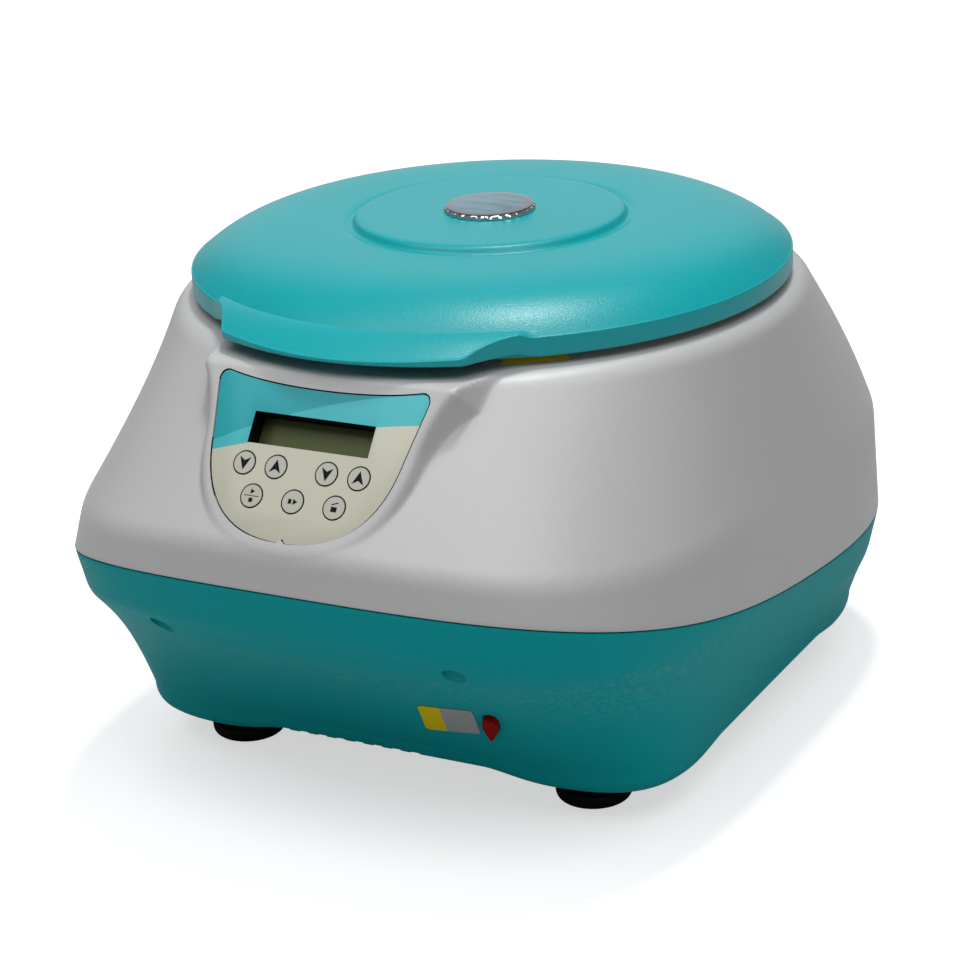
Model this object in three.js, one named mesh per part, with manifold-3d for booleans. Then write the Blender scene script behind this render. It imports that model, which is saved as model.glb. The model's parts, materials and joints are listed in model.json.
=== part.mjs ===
// Bench centrifuge for laboratory tubes: two moulded housings, a domed lid on two hinges, an angle
// rotor on a damped motor, a membrane control panel and the mains fittings at the rear.
// Millimetres, +Z up, front at -Y. The origin is on the bench under the middle of the body.

import * as THREE from "three";
import { mergeVertices } from "three/addons/utils/BufferGeometryUtils.js";
import Module from "manifold-3d";

const wasm = await Module();
wasm.setup();

// General clearances
const fit = 0.3;
const over = 4;
const degree = Math.PI / 180;

// Facet counts
const bodySides = 52;
const lidSides = 52;
const bowlSides = 36;
const roundSides = 20;
const smallSides = 10;
const curveSteps = 5;
const wallSteps = 3;
const roundSteps = 3;
const foldSteps = 2;

// Radii grow outwards: the rotor sets the bowl, the bowl the deck opening, that the lid and the body
const rotorRadius = 112;
const bowlClear = 13;
const bowlRadius = rotorRadius + bowlClear;
const openingMargin = 6;
const openingRadius = bowlRadius + openingMargin;
const lidOverlap = 19;
const lidRadius = openingRadius + lidOverlap;
const deckMargin = 7;
const shoulderRadius = lidRadius + deckMargin;
const bodyMargin = { side: 13.5, front: 65, rear: 33 };

// Heights grow upwards: base plate, motor on its damped plate, bowl floor, rotor, deck
const baseHeight = 22.4;
const seatRise = 3.8;
const seatTop = baseHeight + seatRise;
const plateRadius = 86;
const boardBay = 18;
const basePlate = { half: 82, reach: plateRadius + boardBay, thick: 2 };
const plateTop = seatTop + fit + basePlate.thick;
const motorGap = 2;
const motorBottom = plateTop + motorGap;
const postRise = 15.5;
const postTop = plateTop + postRise;
const damperHeight = 26;
const damperTop = postTop + damperHeight + fit;
const plateBottom = damperTop + fit;
const capTop = plateBottom - fit;
const capBossRise = 15.7;
const capBossTop = capTop + capBossRise;
const bowlLift = 28.5;
const bowlFloor = capBossTop + bowlLift;
const rotorLift = 7.5;
const rotorBottom = bowlFloor + rotorLift;
const rotorHeight = 62;
const rotorTop = rotorBottom + rotorHeight;
const tubeHeadroom = 39.5;
const deckHeight = rotorTop + tubeHeadroom;

// Housing: outlines seen from above are superellipses about the rotor axis
const wall = 3;
const shoulderRound = 9;
const splitOutline = {
  half: shoulderRadius + bodyMargin.side, front: shoulderRadius + bodyMargin.front,
  rear: shoulderRadius + bodyMargin.rear, frontFullness: 3.4, rearFullness: 3.6,
};
const slopeBulge = 5;
const creaseInset = 2.5;
const creaseOutline = {
  half: splitOutline.half - creaseInset, front: splitOutline.front - creaseInset,
  rear: splitOutline.rear - creaseInset, frontFullness: 3.2, rearFullness: 3.6,
};
const creaseRound = 11;
const bandInset = 5;
const bandHeight = 21;
const bandRound = 5;
const baseInset = { side: 20, front: 80, rear: 46 };
const baseOutline = {
  half: splitOutline.half - baseInset.side, front: splitOutline.front - baseInset.front,
  rear: splitOutline.rear - baseInset.rear, frontFullness: 6.8, rearFullness: 7.5,
};
const cornerStartShare = 0.7;
const cornerEndShare = 0.95;
const baseRound = 9;
const baseCornerRound = 4;
const footDrop = 5.4;
const splitGap = 0.6;
const lipHeight = 5;
const lipWall = 2.4;
const lipSlack = 1.2;
const lipLean = 2;

// The split line falls from the front to the rear, the crease above it far less
const slopeHeight = 86;
const creaseMid = deckHeight - slopeHeight;
const sideHeight = 51;
const splitMid = creaseMid - sideHeight;
const splitSlopeShare = -0.125;
const splitSag = 21.7;
const creaseSlopeShare = -0.03;
const creaseLift = 11;
const creaseLiftStart = 120;

// The base wall below the band leans inwards
const undercutShare = 0.42;
const undercutRiseShare = 0.49;

// Control pad on the front slope: a plane that leans back, with its own outline
const panelLean = 37.4 * degree;
const panelStep = { out: 16, down: 2.4 };
const panelTopReach = lidRadius + panelStep.out;
const panelTopHeight = deckHeight - panelStep.down;
const pad = { topHalf: 67, waistHalf: 57.5, midHalf: 56, midDrop: 35, waistDrop: 14, bottomDrop: 87.3 };
const padShares = { bottomCurve: 0.61, sideCurve: 0.95, sideRise: 0.4 };
const padTopRise = 26;
const padDepth = 30;

// Membrane overlay in a shallow pocket of the pad
const membraneInset = { shoulder: 2, corner: 6.5, middle: 5.5, level: 1, bottom: 8 };
const membrane = {
  topHalf: pad.waistHalf - membraneInset.corner, shoulderHalf: pad.waistHalf - membraneInset.shoulder,
  midHalf: pad.midHalf - membraneInset.middle, topMidDrop: 5.3, shoulderRise: 0.6,
  shoulderDrop: 6, midDrop: pad.midDrop - membraneInset.level,
  bottomDrop: pad.bottomDrop - membraneInset.bottom, thick: 1.2,
};
const membraneShares = { bottomCurve: 0.78, sideCurve: 0.95, sideDrop: 0.66, topCurve: 0.6 };
const pocketDepth = 1.8;
const notchHalf = 1.6;
const notchRise = 1.8;

// Display
const display = { half: 31.7, top: 19, bottom: 34.2 };
const displayFrame = 6;
const displayTunnel = 6.7;
const glassThick = 1.7;

// Keys: two rows on the membrane
const keyRadius = 5.7;
const keyGap = 0.25;
const keyHole = keyRadius + keyGap;
const keySides = 16;
const stemSides = 6;
const keyThick = 1;
const keySink = 0.1;
const keyStem = 1.6;
const keyStemHole = keyStem + 2 * fit;
const keyStemLength = 7.3;
const upperRowDrop = 44;
const lowerRowDrop = 59;
const innerKeyOffset = 13.3;
const outerKeyOffset = 30.1;
const lowerKeyOffset = 21.7;

// Control board behind the panel
const boardThick = 1.6;
const board = { half: 46, top: 12, bottom: 68 };
const tact = { size: 6, rise: 3.1 };

// Lid
const lidWall = 2.5;
const rimGap = 4.3;
const rimBottom = deckHeight + rimGap;
const rimHeight = 6.2;
const rimTop = rimBottom + rimHeight;
const rimChamfer = 0.8;
const domeRise = 23.9;
const plateauHeight = rimTop + domeRise;
const plateauRadius = 65.9;
const plateauSkirt = 5.1;
const plateauFoot = plateauRadius + plateauSkirt;
const plateauStep = 2.6;
const domeRadialShare = 2.5;
const domeRiseShare = 1.7;
const domeRings = 6;
const liningRings = 3;
const lipMargin = { front: 21, corner: 8, root: 28, scoop: 13, bottom: 2.2, top: 6 };
const lip = {
  frontReach: lidRadius + lipMargin.front, cornerHalf: 61, cornerReach: lidRadius + lipMargin.corner,
  rootHalf: 84, rootReach: lidRadius - lipMargin.root, scoopHalf: 68, scoopReach: lidRadius - lipMargin.scoop,
  bottom: rimBottom + lipMargin.bottom, top: rimTop + lipMargin.top, slopeShare: 0.2,
};

// Window in the lid
const windowHole = 19.6;
const windowFlange = 3.4;
const windowRingOuter = windowHole + windowFlange;
const windowRingRise = 2.6;
const sleeveWall = 1.8;
const lensRise = 4.2;
const lensThick = 3;
const lensShares = { haunch: 0.7, haunchRise: 0.8, crown: 0.33 };

// Lid liner
const linerRadius = lidRadius - lidWall - fit;
const linerRecess = 1.1;
const linerBottom = rimBottom + linerRecess;
const linerThick = 2.2;
const linerHole = windowHole + 2 * fit;
const ribOffset = 2.8;
const ribWidth = 3.8;
const ribInner = openingRadius - ribOffset;
const ribOuter = ribInner + ribWidth;

// Chamber bowl and its gasket in the deck opening
const bowlWall = 1.2;
const bowlCorner = 15;
const flangeWidth = 12;
const bowlFlange = bowlRadius + flangeWidth;
const bowlHole = 16;
const gasketLeg = 3.4;
const gasketRise = 3.5;
const gasketLap = 2.5;

// Rotor: fixed angle, with slanted tube bores
const tubeCount = 12;
const tubeRadius = 8.7;
const tubeTilt = 35 * degree;
const tubeDepth = 64;
const tubeInset = 50;
const tubeCircle = rotorRadius - tubeInset;
const hubSink = 22;
const rotorHubTop = rotorTop - hubSink;
const nut = { radius: 14, height: 17.7, chamfer: 3, boreDepth: 11.7 };
const rotorStep = { nutClear: 14, ring: 14, top: 36, foot: 14, edgeTop: 32, edgeBottom: 14 };
const rotor = {
  dishInner: nut.radius + rotorStep.nutClear, topInner: tubeCircle - rotorStep.ring,
  topOuter: rotorRadius - rotorStep.top, foot: rotorRadius - rotorStep.foot,
  edgeTop: rotorTop - rotorStep.edgeTop, edgeBottom: rotorBottom + rotorStep.edgeBottom,
};

// Motor on its damped plate
const shaftRadius = 6;
const shaftStart = 2.5;
const shaftBottom = motorBottom + shaftStart;
const shaftEnd = 10;
const shaftTop = rotorHubTop + shaftEnd;
const collarWidth = 3.5;
const collarRadius = shaftRadius + collarWidth;
const collarThick = 2.2;
const motorRadius = 38;
const motorWall = 3;
const bearingRadius = 13;
const bearingThick = 5;
const hubWall = 4;
const motorHub = bearingRadius + hubWall;
const armatureGap = { side: 10, under: 9.5 };
const armatureRadius = motorRadius - armatureGap.side;
const armatureBottom = motorBottom + armatureGap.under;
const armatureHeight = 22;
const armatureTop = armatureBottom + armatureHeight;
const capThick = 3;
const capLip = 3;
const shaftGap = 1.5;
const shaftHole = shaftRadius + shaftGap;
const plateThick = 4;
const plateHole = motorHub + shaftGap;
const damperInset = 16;
const damperCircle = plateRadius - damperInset;
const damperRadius = 11;
const damperWaist = 8.5;
const postRadius = 9;
const sealSkirt = 8;
const sealRadius = bowlHole + sealSkirt;
const sealHeight = 4.2;

// Base plate on a seat frame of the lower housing
const seatLap = 4;
const baseOpening = { half: basePlate.half - seatLap, reach: basePlate.reach - seatLap };
const seatWidth = 6;
const baseVent = { count: 7, half: 2.5, length: 40, pitch: 12 };

// Feet
const footRadius = 18.8;
const footHeight = 8;
const footNeck = 14;
const footInset = { side: 52.5, front: 39 };
const footSide = baseOutline.half - footInset.side;
const footReach = baseOutline.front - footInset.front;
const footChamfer = 2;

// Vent notches along the bottom front edge
const notchCount = 13;
const notchPitch = 5.6;
const notchWidth = 2.8;
const notchDepth = 9;
const notchStart = -74;

// Housing screws, in bores that run straight up from the slanting wall
const screwInset = { front: 21.5, rear: 40 };
const screwSide = 78;
const screwFront = splitOutline.front - screwInset.front;
const screwRear = splitOutline.rear - screwInset.rear;
const screwBore = 5.5;
const bossWall = 2.9;
const screwBoss = screwBore + bossWall;
const screwHead = 4;
const screwHeadHeight = 3.5;
const screwShank = 2;
const screwShankHole = 2.4;
const screwShankLength = 16;
const boreTopRise = 24.5;
const frontBoreTop = splitMid + boreTopRise;
const rearBoreTop = splitMid - boreTopRise;
const bossFloor = 4;
const upperBoss = 5.5;
const pilotDepth = 14;

// Lid hinges
const hingeOffset = { out: 13, up: 4.5 };
const hingeReach = lidRadius + hingeOffset.out;
const hingeHeight = deckHeight + hingeOffset.up;
const hingeSide = 34;
const knuckleRadius = 4;
const knuckleWidth = 13;
const pinRadius = 2;
const cheekWidth = 2.6;
const cheekGap = 0.4;
const armGap = { under: 1.3, inside: 0.5 };
const armThick = 2.5;
const arm = {
  bottom: deckHeight + armGap.under, top: deckHeight + armGap.under + armThick,
  footReach: openingRadius - armGap.inside, footLength: 6.8,
};
const bracketLength = { front: 6, rear: 14 };
const bracket = {
  rear: hingeReach + bracketLength.rear, baseFront: hingeReach + bracketLength.front,
  baseThick: 2.4, cheekRise: 4.1,
};
const humpMargin = { side: 18, top: 17.5, bottom: 23, root: 43 };
const hump = {
  half: hingeSide + humpMargin.side, top: hingeReach + humpMargin.top,
  bottom: hingeReach + humpMargin.bottom, root: hingeReach - humpMargin.root,
};

// Lid lock under the front of the deck
const hookMargin = 11.5;
const hookReach = openingRadius + hookMargin;
const hookThick = 3;
const hookHalf = 9;
const hookDepth = 23.5;
const hookBottom = deckHeight - hookDepth;
const hookFootSize = { side: 3, back: 6 };
const hookFoot = { half: hookHalf + hookFootSize.side, inner: hookReach - hookFootSize.back, thick: 2 };
const hookWindowSize = { side: 3.5, lift: 5, high: 8 };
const hookWindow = {
  half: hookHalf - hookWindowSize.side, bottom: hookBottom + hookWindowSize.lift,
  top: hookBottom + hookWindowSize.lift + hookWindowSize.high,
};
const slotGap = { side: 3, front: 7.5, rear: 3.5 };
const slotHalf = hookHalf + slotGap.side;
const slotFront = hookReach + slotGap.front;
const slotRear = hookReach - slotGap.rear;
const lockMargin = { side: 5, front: 10, under: 6 };
const lock = {
  half: slotHalf + lockMargin.side, front: slotFront + lockMargin.front, top: deckHeight - wall - fit,
  bottom: hookBottom - lockMargin.under, wall: 2.5,
};
const pawlGap = { side: 1, under: 1, tip: 2, tail: 1 };
const pawlThick = 5.5;
const pawl = {
  half: hookWindow.half - pawlGap.side, bottom: hookWindow.bottom + pawlGap.under,
  top: hookWindow.bottom + pawlGap.under + pawlThick,
  tip: slotFront - pawlGap.tip, tail: lock.front + pawlGap.tail,
};
const solenoid = { length: 26, width: 12, height: 16 };

// Rear plate with the mains fittings, in the tall grey band
const rearPlateHeight = 36;
const rearPlateInset = { top: 12.5, face: 5 };
const rearPlate = {
  half: 74, bottom: creaseMid - rearPlateInset.top - rearPlateHeight, top: creaseMid - rearPlateInset.top,
  thick: 1.5, face: splitOutline.rear - rearPlateInset.face,
};
const rearBoss = 5;
const inlet = { at: -38, half: 24, high: 30, flange: 2, socketHalf: 12.2, socketHigh: 16.4, depth: 15 };
const inletBody = { wall: 2, pinHalf: 1.1, pinHigh: 4.2, pinLength: 8.5, pinPitch: 6.8, earthRise: 2.6 };
const fuse = { at: 9, radius: 7, rise: 4, body: 5, depth: 26, slotHalf: 4.5, slotWidth: 1.2 };
const mainsSwitch = {
  at: 47, half: 14.5, high: 24, flange: 2, rockerHalf: 10, rockerHigh: 17, depth: 20, wall: 2,
};
const rockerTilt = 8 * degree;
const rocker = { rise: 2.6, depth: 7, clear: 0.9 };
const rockerShares = { root: 0.7, waist: 0.4 };

// Power board standing behind the motor
const powerBoardGap = { front: 10, under: 0.9 };
const powerBoardHeight = 42.6;
const powerBoard = {
  reach: plateRadius + powerBoardGap.front, half: 52, bottom: plateTop + powerBoardGap.under,
  top: plateTop + powerBoardGap.under + powerBoardHeight, thick: 1.6,
};
const powerBlock = { half: 16, deep: 24, high: 30, rise: 3 };

// Emergency release plug in the base wall
const plugDrop = 28.1;
const plug = {
  angle: -66.4 * degree, step: 1 * degree, rise: splitMid - plugDrop, half: 4.6, upper: 6, lower: 15,
  outside: 1.4, inside: 9,
};
const plugBendShare = 1 / 3;

// The rotor axis stands behind the middle of the body
const axisReach = (splitOutline.front - splitOutline.rear) / 2;

const assembly = new THREE.Group();
assembly.position.y = axisReach;

// Solids

function solidOf(geometry) {
  const bare = geometry.clone();
  bare.deleteAttribute("normal");
  bare.deleteAttribute("uv");
  const merged = mergeVertices(bare);
  return new wasm.Manifold(new wasm.Mesh({
    numProp: 3,
    vertProperties: new Float32Array(merged.attributes.position.array),
    triVerts: new Uint32Array(merged.index.array),
  }));
}

function geometryOf(solid) {
  const mesh = solid.getMesh();
  const geometry = new THREE.BufferGeometry();
  geometry.setAttribute("position", new THREE.BufferAttribute(mesh.vertProperties, 3));
  geometry.setIndex(new THREE.BufferAttribute(mesh.triVerts, 1));
  return geometry;
}

function join(...solids) {
  return solids.reduce((whole, next) => whole.add(next));
}

function cut(body, ...tools) {
  return tools.reduce((whole, next) => whole.subtract(next), body);
}

// A box between two corners
function boxSolid(low, high) {
  const size = high.map((value, axis) => value - low[axis]);
  const geometry = new THREE.BoxGeometry(...size);
  geometry.translate(...high.map((value, axis) => (value + low[axis]) / 2));
  return solidOf(geometry);
}

// A body turned about Z from a profile of [radius, height] points that closes on itself or on the axis
function turned(profile, sides) {
  const points = profile.map(([radius, height]) => new THREE.Vector2(radius, height));
  const touchesAxis = points[0].x === 0 && points[points.length - 1].x === 0;
  if (!touchesAxis) points.push(points[0].clone());
  const geometry = new THREE.LatheGeometry(points, sides);
  geometry.rotateX(Math.PI / 2);
  const solid = solidOf(geometry);
  return solid;
}

function rod(radius, bottom, top, x = 0, y = 0, sides = smallSides) {
  const geometry = new THREE.CylinderGeometry(radius, radius, top - bottom, sides);
  geometry.rotateX(Math.PI / 2);
  geometry.translate(x, y, (top + bottom) / 2);
  return solidOf(geometry);
}

function moved(solid, matrix) {
  return solid.transform(matrix.elements);
}

function prism(shape, depth, matrix, steps) {
  const geometry = new THREE.ExtrudeGeometry(shape, { depth, bevelEnabled: false, curveSegments: steps });
  geometry.applyMatrix4(matrix);
  return solidOf(geometry);
}

function mirroredShape(half) {
  const shape = new THREE.Shape();
  half(shape, 1);
  const points = shape.getPoints(curveSteps);
  const other = points.slice(1, -1).reverse().map((point) => new THREE.Vector2(-point.x, point.y));
  return new THREE.Shape(points.concat(other));
}

function piece(name, solid, finish) {
  const mesh = new THREE.Mesh(geometryOf(solid), finish);
  mesh.name = name;
  assembly.add(mesh);
  return solid;
}

function finish(color, roughness, metalness = 0, opacity = 1) {
  return new THREE.MeshStandardMaterial({
    color, roughness, metalness, opacity, transparent: opacity < 1,
  });
}

const finishes = {
  pearl: finish(0xbebec3, 0.45),
  turquoise: finish(0x00b0b8, 0.4),
  base: finish(0x007f84, 0.5),
  liner: finish(0xe6e6e2, 0.5),
  steel: finish(0xb8babd, 0.35, 1),
  sheet: finish(0x8c8f92, 0.5, 0.8),
  alloy: finish(0xc4c6c9, 0.4, 0.9),
  chrome: finish(0xd8dadd, 0.15, 1),
  clear: finish(0xcfdfe8, 0.05, 0, 0.4),
  rubber: finish(0x17181a, 0.85),
  black: finish(0x101113, 0.5),
  membrane: finish(0xbebcaf, 0.5),
  olive: finish(0x41482a, 0.2),
  board: finish(0x1f6b3a, 0.6),
  red: finish(0x8c0a05, 0.4),
  copper: finish(0x9a6a40, 0.5, 0.7),
};

// Body outlines and levels

function reach(outline, angle) {
  const across = Math.abs(Math.cos(angle) / outline.half);
  const front = Math.sin(angle) < 0;
  const along = Math.abs(Math.sin(angle) / (front ? outline.front : outline.rear));
  const fullness = front ? outline.frontFullness : outline.rearFullness;
  return (across ** fullness + along ** fullness) ** (-1 / fullness);
}

function splitHeight(y) {
  return splitMid + splitSlopeShare * y + splitSag * (y / splitOutline.front) ** 2;
}

function creaseHeight(y) {
  const past = Math.max(0, -y - creaseLiftStart) / (splitOutline.front - creaseLiftStart);
  return creaseMid + creaseSlopeShare * y + creaseLift * past ** 3;
}

// Rises from nothing along the sides to one at the four corners
function cornerShare(angle) {
  const diagonal = Math.abs(Math.sin(2 * angle));
  return THREE.MathUtils.smoothstep(diagonal, cornerStartShare, cornerEndShare);
}

function lerp(from, to, share) {
  return from + (to - from) * share;
}

function bend(start, middle, end, steps, skipStart = 0) {
  const curve = new THREE.QuadraticBezierCurve(
    new THREE.Vector2(...start), new THREE.Vector2(...middle), new THREE.Vector2(...end));
  return curve.getPoints(steps).slice(skipStart).map((point) => [point.x, point.y]);
}

function towards(from, to, distance) {
  const share = distance / Math.hypot(to[0] - from[0], to[1] - from[1]);
  return [lerp(from[0], to[0], share), lerp(from[1], to[1], share)];
}

function rounded(before, corner, after, setback, steps) {
  return bend(towards(corner, before, setback), corner, towards(corner, after, setback), steps);
}

// A solid through rings, one profile of [radius, height] points per angle, bottom to top
function lofted(profileAt) {
  const profiles = [];
  for (let i = 0; i < bodySides; i++) {
    const angle = -Math.PI / 2 + (2 * Math.PI * i) / bodySides;
    profiles.push(profileAt(angle).map(([radius, height]) => [
      radius * Math.cos(angle), radius * Math.sin(angle), height]));
  }
  const levels = profiles[0].length;
  const positions = [];
  for (let level = 0; level < levels; level++) {
    for (const profile of profiles) positions.push(...profile[level]);
  }
  const triangles = [];
  const at = (level, i) => level * bodySides + ((i + bodySides) % bodySides);
  for (let level = 0; level + 1 < levels; level++) {
    for (let i = 0; i < bodySides; i++) {
      triangles.push(at(level, i), at(level, i + 1), at(level + 1, i + 1));
      triangles.push(at(level, i), at(level + 1, i + 1), at(level + 1, i));
    }
  }
  capAcross(triangles, at, 0, true);
  capAcross(triangles, at, levels - 1, false);
  const geometry = new THREE.BufferGeometry();
  geometry.setAttribute("position", new THREE.Float32BufferAttribute(positions, 3));
  geometry.setIndex(triangles);
  return solidOf(geometry);
}

// Closes a ring with strips that run straight across from left to right
function capAcross(triangles, at, level, facingDown) {
  const half = bodySides / 2;
  const add = (a, b, c) => triangles.push(...(facingDown ? [a, c, b] : [a, b, c]));
  for (let i = 0; i < half; i++) {
    const right = at(level, i);
    const nextRight = at(level, i + 1);
    const left = at(level, -i);
    const nextLeft = at(level, -i - 1);
    if (i > 0) add(left, right, nextRight);
    if (i + 1 < half) add(i > 0 ? left : right, nextRight, nextLeft);
  }
}

function upperProfile(inset, sink, angle) {
  const edge = reach(splitOutline, angle) - inset;
  const low = [edge, splitHeight(edge * Math.sin(angle)) + splitGap / 2 - sink];
  const foldRadius = reach(creaseOutline, angle) - inset;
  const fold = [foldRadius, creaseHeight(foldRadius * Math.sin(angle)) - inset / 2];
  const shoulder = [shoulderRadius - inset, deckHeight - inset];
  const inner = [shoulderRadius - inset - 2 * shoulderRound, deckHeight - inset];
  const rearShare = (1 + Math.sin(angle)) / 2;
  const swell = [
    lerp(fold[0], shoulder[0], 1 / 2) + slopeBulge * rearShare * rearShare,
    lerp(fold[1], shoulder[1], 1 / 2),
  ];
  if (inset > 0) return [low, fold, swell, shoulder, inner];
  return [
    low,
    ...rounded(low, fold, swell, creaseRound, foldSteps),
    swell,
    ...rounded(swell, shoulder, inner, shoulderRound, foldSteps),
  ];
}

function baseWall(angle, inset) {
  const edge = reach(splitOutline, angle) - bandInset;
  const band = [edge - inset, splitHeight(edge * Math.sin(angle)) - bandHeight + inset];
  const corner = cornerShare(angle);
  const floor = baseHeight - footDrop * corner + inset;
  const round = baseRound + baseCornerRound * corner;
  const foot = [reach(baseOutline, angle) - inset, floor + round];
  const middle = [
    lerp(foot[0], band[0], undercutShare), lerp(foot[1], band[1], undercutRiseShare)];
  return { band, foot, middle, floor, round };
}

function lowerProfile(inset, lift, angle) {
  const { band, foot, middle, floor, round } = baseWall(angle, inset);
  const edge = reach(splitOutline, angle);
  const outerEdge = [edge - fit, splitHeight((edge - fit) * Math.sin(angle)) - splitGap / 2];
  const lipEdge = edge - wall - lipSlack - (inset > 0 ? lipWall : 0);
  const top = splitHeight(lipEdge * Math.sin(angle)) - splitGap / 2;
  const bandFoot = towards(band, middle, bandRound);
  const wallCurve = bend(foot, middle, bandFoot, wallSteps, 1);
  const heel = [foot[0] - round, floor];
  if (inset > 0) {
    return [
      heel, foot, ...wallCurve, [lipEdge, top - 2 * lipWall],
      [lipEdge - lipLean, top + lipHeight], [lipEdge - lipLean, top + lipHeight + lift],
    ];
  }
  return [
    heel,
    ...bend(heel, [foot[0], floor], foot, roundSteps, 1),
    ...wallCurve,
    ...bend(bandFoot, band, towards(band, outerEdge, bandRound), foldSteps, 1),
    outerEdge,
    [lipEdge, top],
    [lipEdge - lipLean, top + lipHeight],
  ];
}

// Panel frame: x across, y up the slope, z out of the panel
const panelMatrix = new THREE.Matrix4().makeRotationX(Math.PI / 2 - panelLean)
  .setPosition(0, -panelTopReach, panelTopHeight);

function onPanel(depthFrom) {
  return panelMatrix.clone().multiply(new THREE.Matrix4().makeTranslation(0, 0, depthFrom));
}

function padShape(inset) {
  const middle = [pad.midHalf - inset, -pad.midDrop];
  const bottom = -pad.bottomDrop + inset;
  return mirroredShape((shape) => {
    shape.moveTo(0, bottom);
    shape.bezierCurveTo(middle[0] * padShares.bottomCurve, bottom, middle[0] * padShares.sideCurve,
      lerp(bottom, middle[1], padShares.sideRise), ...middle);
    shape.quadraticCurveTo(pad.waistHalf - inset, -pad.waistDrop, pad.topHalf - inset, 0);
    shape.lineTo(pad.topHalf - inset, padTopRise);
    shape.lineTo(0, padTopRise);
  });
}

function membraneShape(inset) {
  return mirroredShape((shape) => {
    const bottom = -membrane.bottomDrop + inset;
    shape.moveTo(0, bottom + notchRise);
    shape.lineTo(notchHalf, bottom);
    const side = membrane.midHalf - inset;
    shape.bezierCurveTo(side * membraneShares.bottomCurve, bottom, side * membraneShares.sideCurve,
      bottom * membraneShares.sideDrop, side, -membrane.midDrop);
    shape.lineTo(membrane.shoulderHalf - inset, -membrane.shoulderDrop);
    shape.quadraticCurveTo(membrane.shoulderHalf - inset, -membrane.shoulderRise - inset,
      membrane.topHalf - inset, -membrane.shoulderRise - inset);
    shape.quadraticCurveTo(membrane.topHalf * membraneShares.topCurve, -membrane.topMidDrop - inset,
      0, -membrane.topMidDrop - inset);
  });
}

function panelBox(half, top, bottom, back, front) {
  return moved(boxSolid([-half, -bottom, back], [half, -top, front]), panelMatrix);
}

function panelRod(radius, x, drop, back, front, sides = smallSides) {
  return moved(rod(radius, back, front, x, -drop, sides), panelMatrix);
}

const keyPlaces = [
  ["key_time_down", -outerKeyOffset, upperRowDrop],
  ["key_time_up", -innerKeyOffset, upperRowDrop],
  ["key_speed_down", innerKeyOffset, upperRowDrop],
  ["key_speed_up", outerKeyOffset, upperRowDrop],
  ["key_start_stop", -lowerKeyOffset, lowerRowDrop],
  ["key_pulse", 0, lowerRowDrop],
  ["key_lid_open", lowerKeyOffset, lowerRowDrop],
];

const screwPlaces = [
  ["screw_front_left", -screwSide, -screwFront, frontBoreTop],
  ["screw_front_right", screwSide, -screwFront, frontBoreTop],
  ["screw_rear_left", -screwSide, screwRear, rearBoreTop],
  ["screw_rear_right", screwSide, screwRear, rearBoreTop],
];

const hugeSide = 2 * splitOutline.front;

function humpSolid(inset) {
  const shape = new THREE.Shape();
  shape.moveTo(hump.root, deckHeight - inset);
  shape.lineTo(hump.root, creaseMid - inset);
  shape.lineTo(hump.bottom - inset, creaseMid - inset);
  shape.lineTo(hump.top - inset, deckHeight - inset);
  const matrix = new THREE.Matrix4().makeBasis(
    new THREE.Vector3(0, 1, 0), new THREE.Vector3(0, 0, 1), new THREE.Vector3(1, 0, 0))
    .setPosition(-hump.half + inset, 0, 0);
  return prism(shape, 2 * (hump.half - inset), matrix, 1);
}

// Upper housing

function upperSolid(inset, sink) {
  const body = lofted((angle) => upperProfile(inset, sink, angle));
  const padBlock = prism(padShape(inset), padDepth, onPanel(-padDepth - inset), curveSteps);
  const belowDeck = boxSolid([-hugeSide, -hugeSide, 0], [hugeSide, hugeSide, deckHeight - inset]);
  return join(body, padBlock.intersect(belowDeck), humpSolid(inset));
}

function upperBosses(outer) {
  return screwPlaces.map(([, x, y, boreTop]) => {
    const start = boreTop + 2 * bossFloor + 2 * fit;
    return rod(upperBoss, start, deckHeight, x, y).intersect(outer);
  });
}

function buildUpperHousing() {
  const outer = upperSolid(0, 0);
  const inner = upperSolid(wall, over);
  const rearBlock = boxSolid(
    [-rearPlate.half - wall, rearPlate.face - rearPlate.thick - rearBoss, rearPlate.bottom - wall],
    [rearPlate.half + wall, splitOutline.rear + over, rearPlate.top + wall]).intersect(outer);
  const shell = join(cut(outer, inner), rearBlock, ...upperBosses(outer));
  const face = rearPlate.face;
  const seat = face - rearPlate.thick - fit;
  return cut(
    shell,
    rod(openingRadius, deckHeight - 2 * wall, deckHeight + over, 0, 0, lidSides),
    prism(membraneShape(0), pocketDepth + over, onPanel(-pocketDepth), 6),
    panelBox(display.half + fit, display.top - fit, display.bottom + fit, -wall - over, over),
    ...keyPlaces.map(([, x, drop]) => panelRod(keyStemHole, x, drop, -wall - over, over)),
    boxSolid([-slotHalf, -slotFront, deckHeight - 2 * wall], [slotHalf, -slotRear, deckHeight + over]),
    boxSolid([-rearPlate.half, seat, rearPlate.bottom],
      [rearPlate.half, splitOutline.rear + over, rearPlate.top]),
    boxSolid([-rearPlate.half + wall, seat - rearBoss - over, rearPlate.bottom + wall],
      [rearPlate.half - wall, splitOutline.rear + over, rearPlate.top - wall]),
    ...screwPlaces.map(([, x, y, boreTop]) => rod(
      screwShankHole, boreTop, boreTop + 2 * bossFloor + pilotDepth, x, y)),
  );
}

// Lower housing

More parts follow.
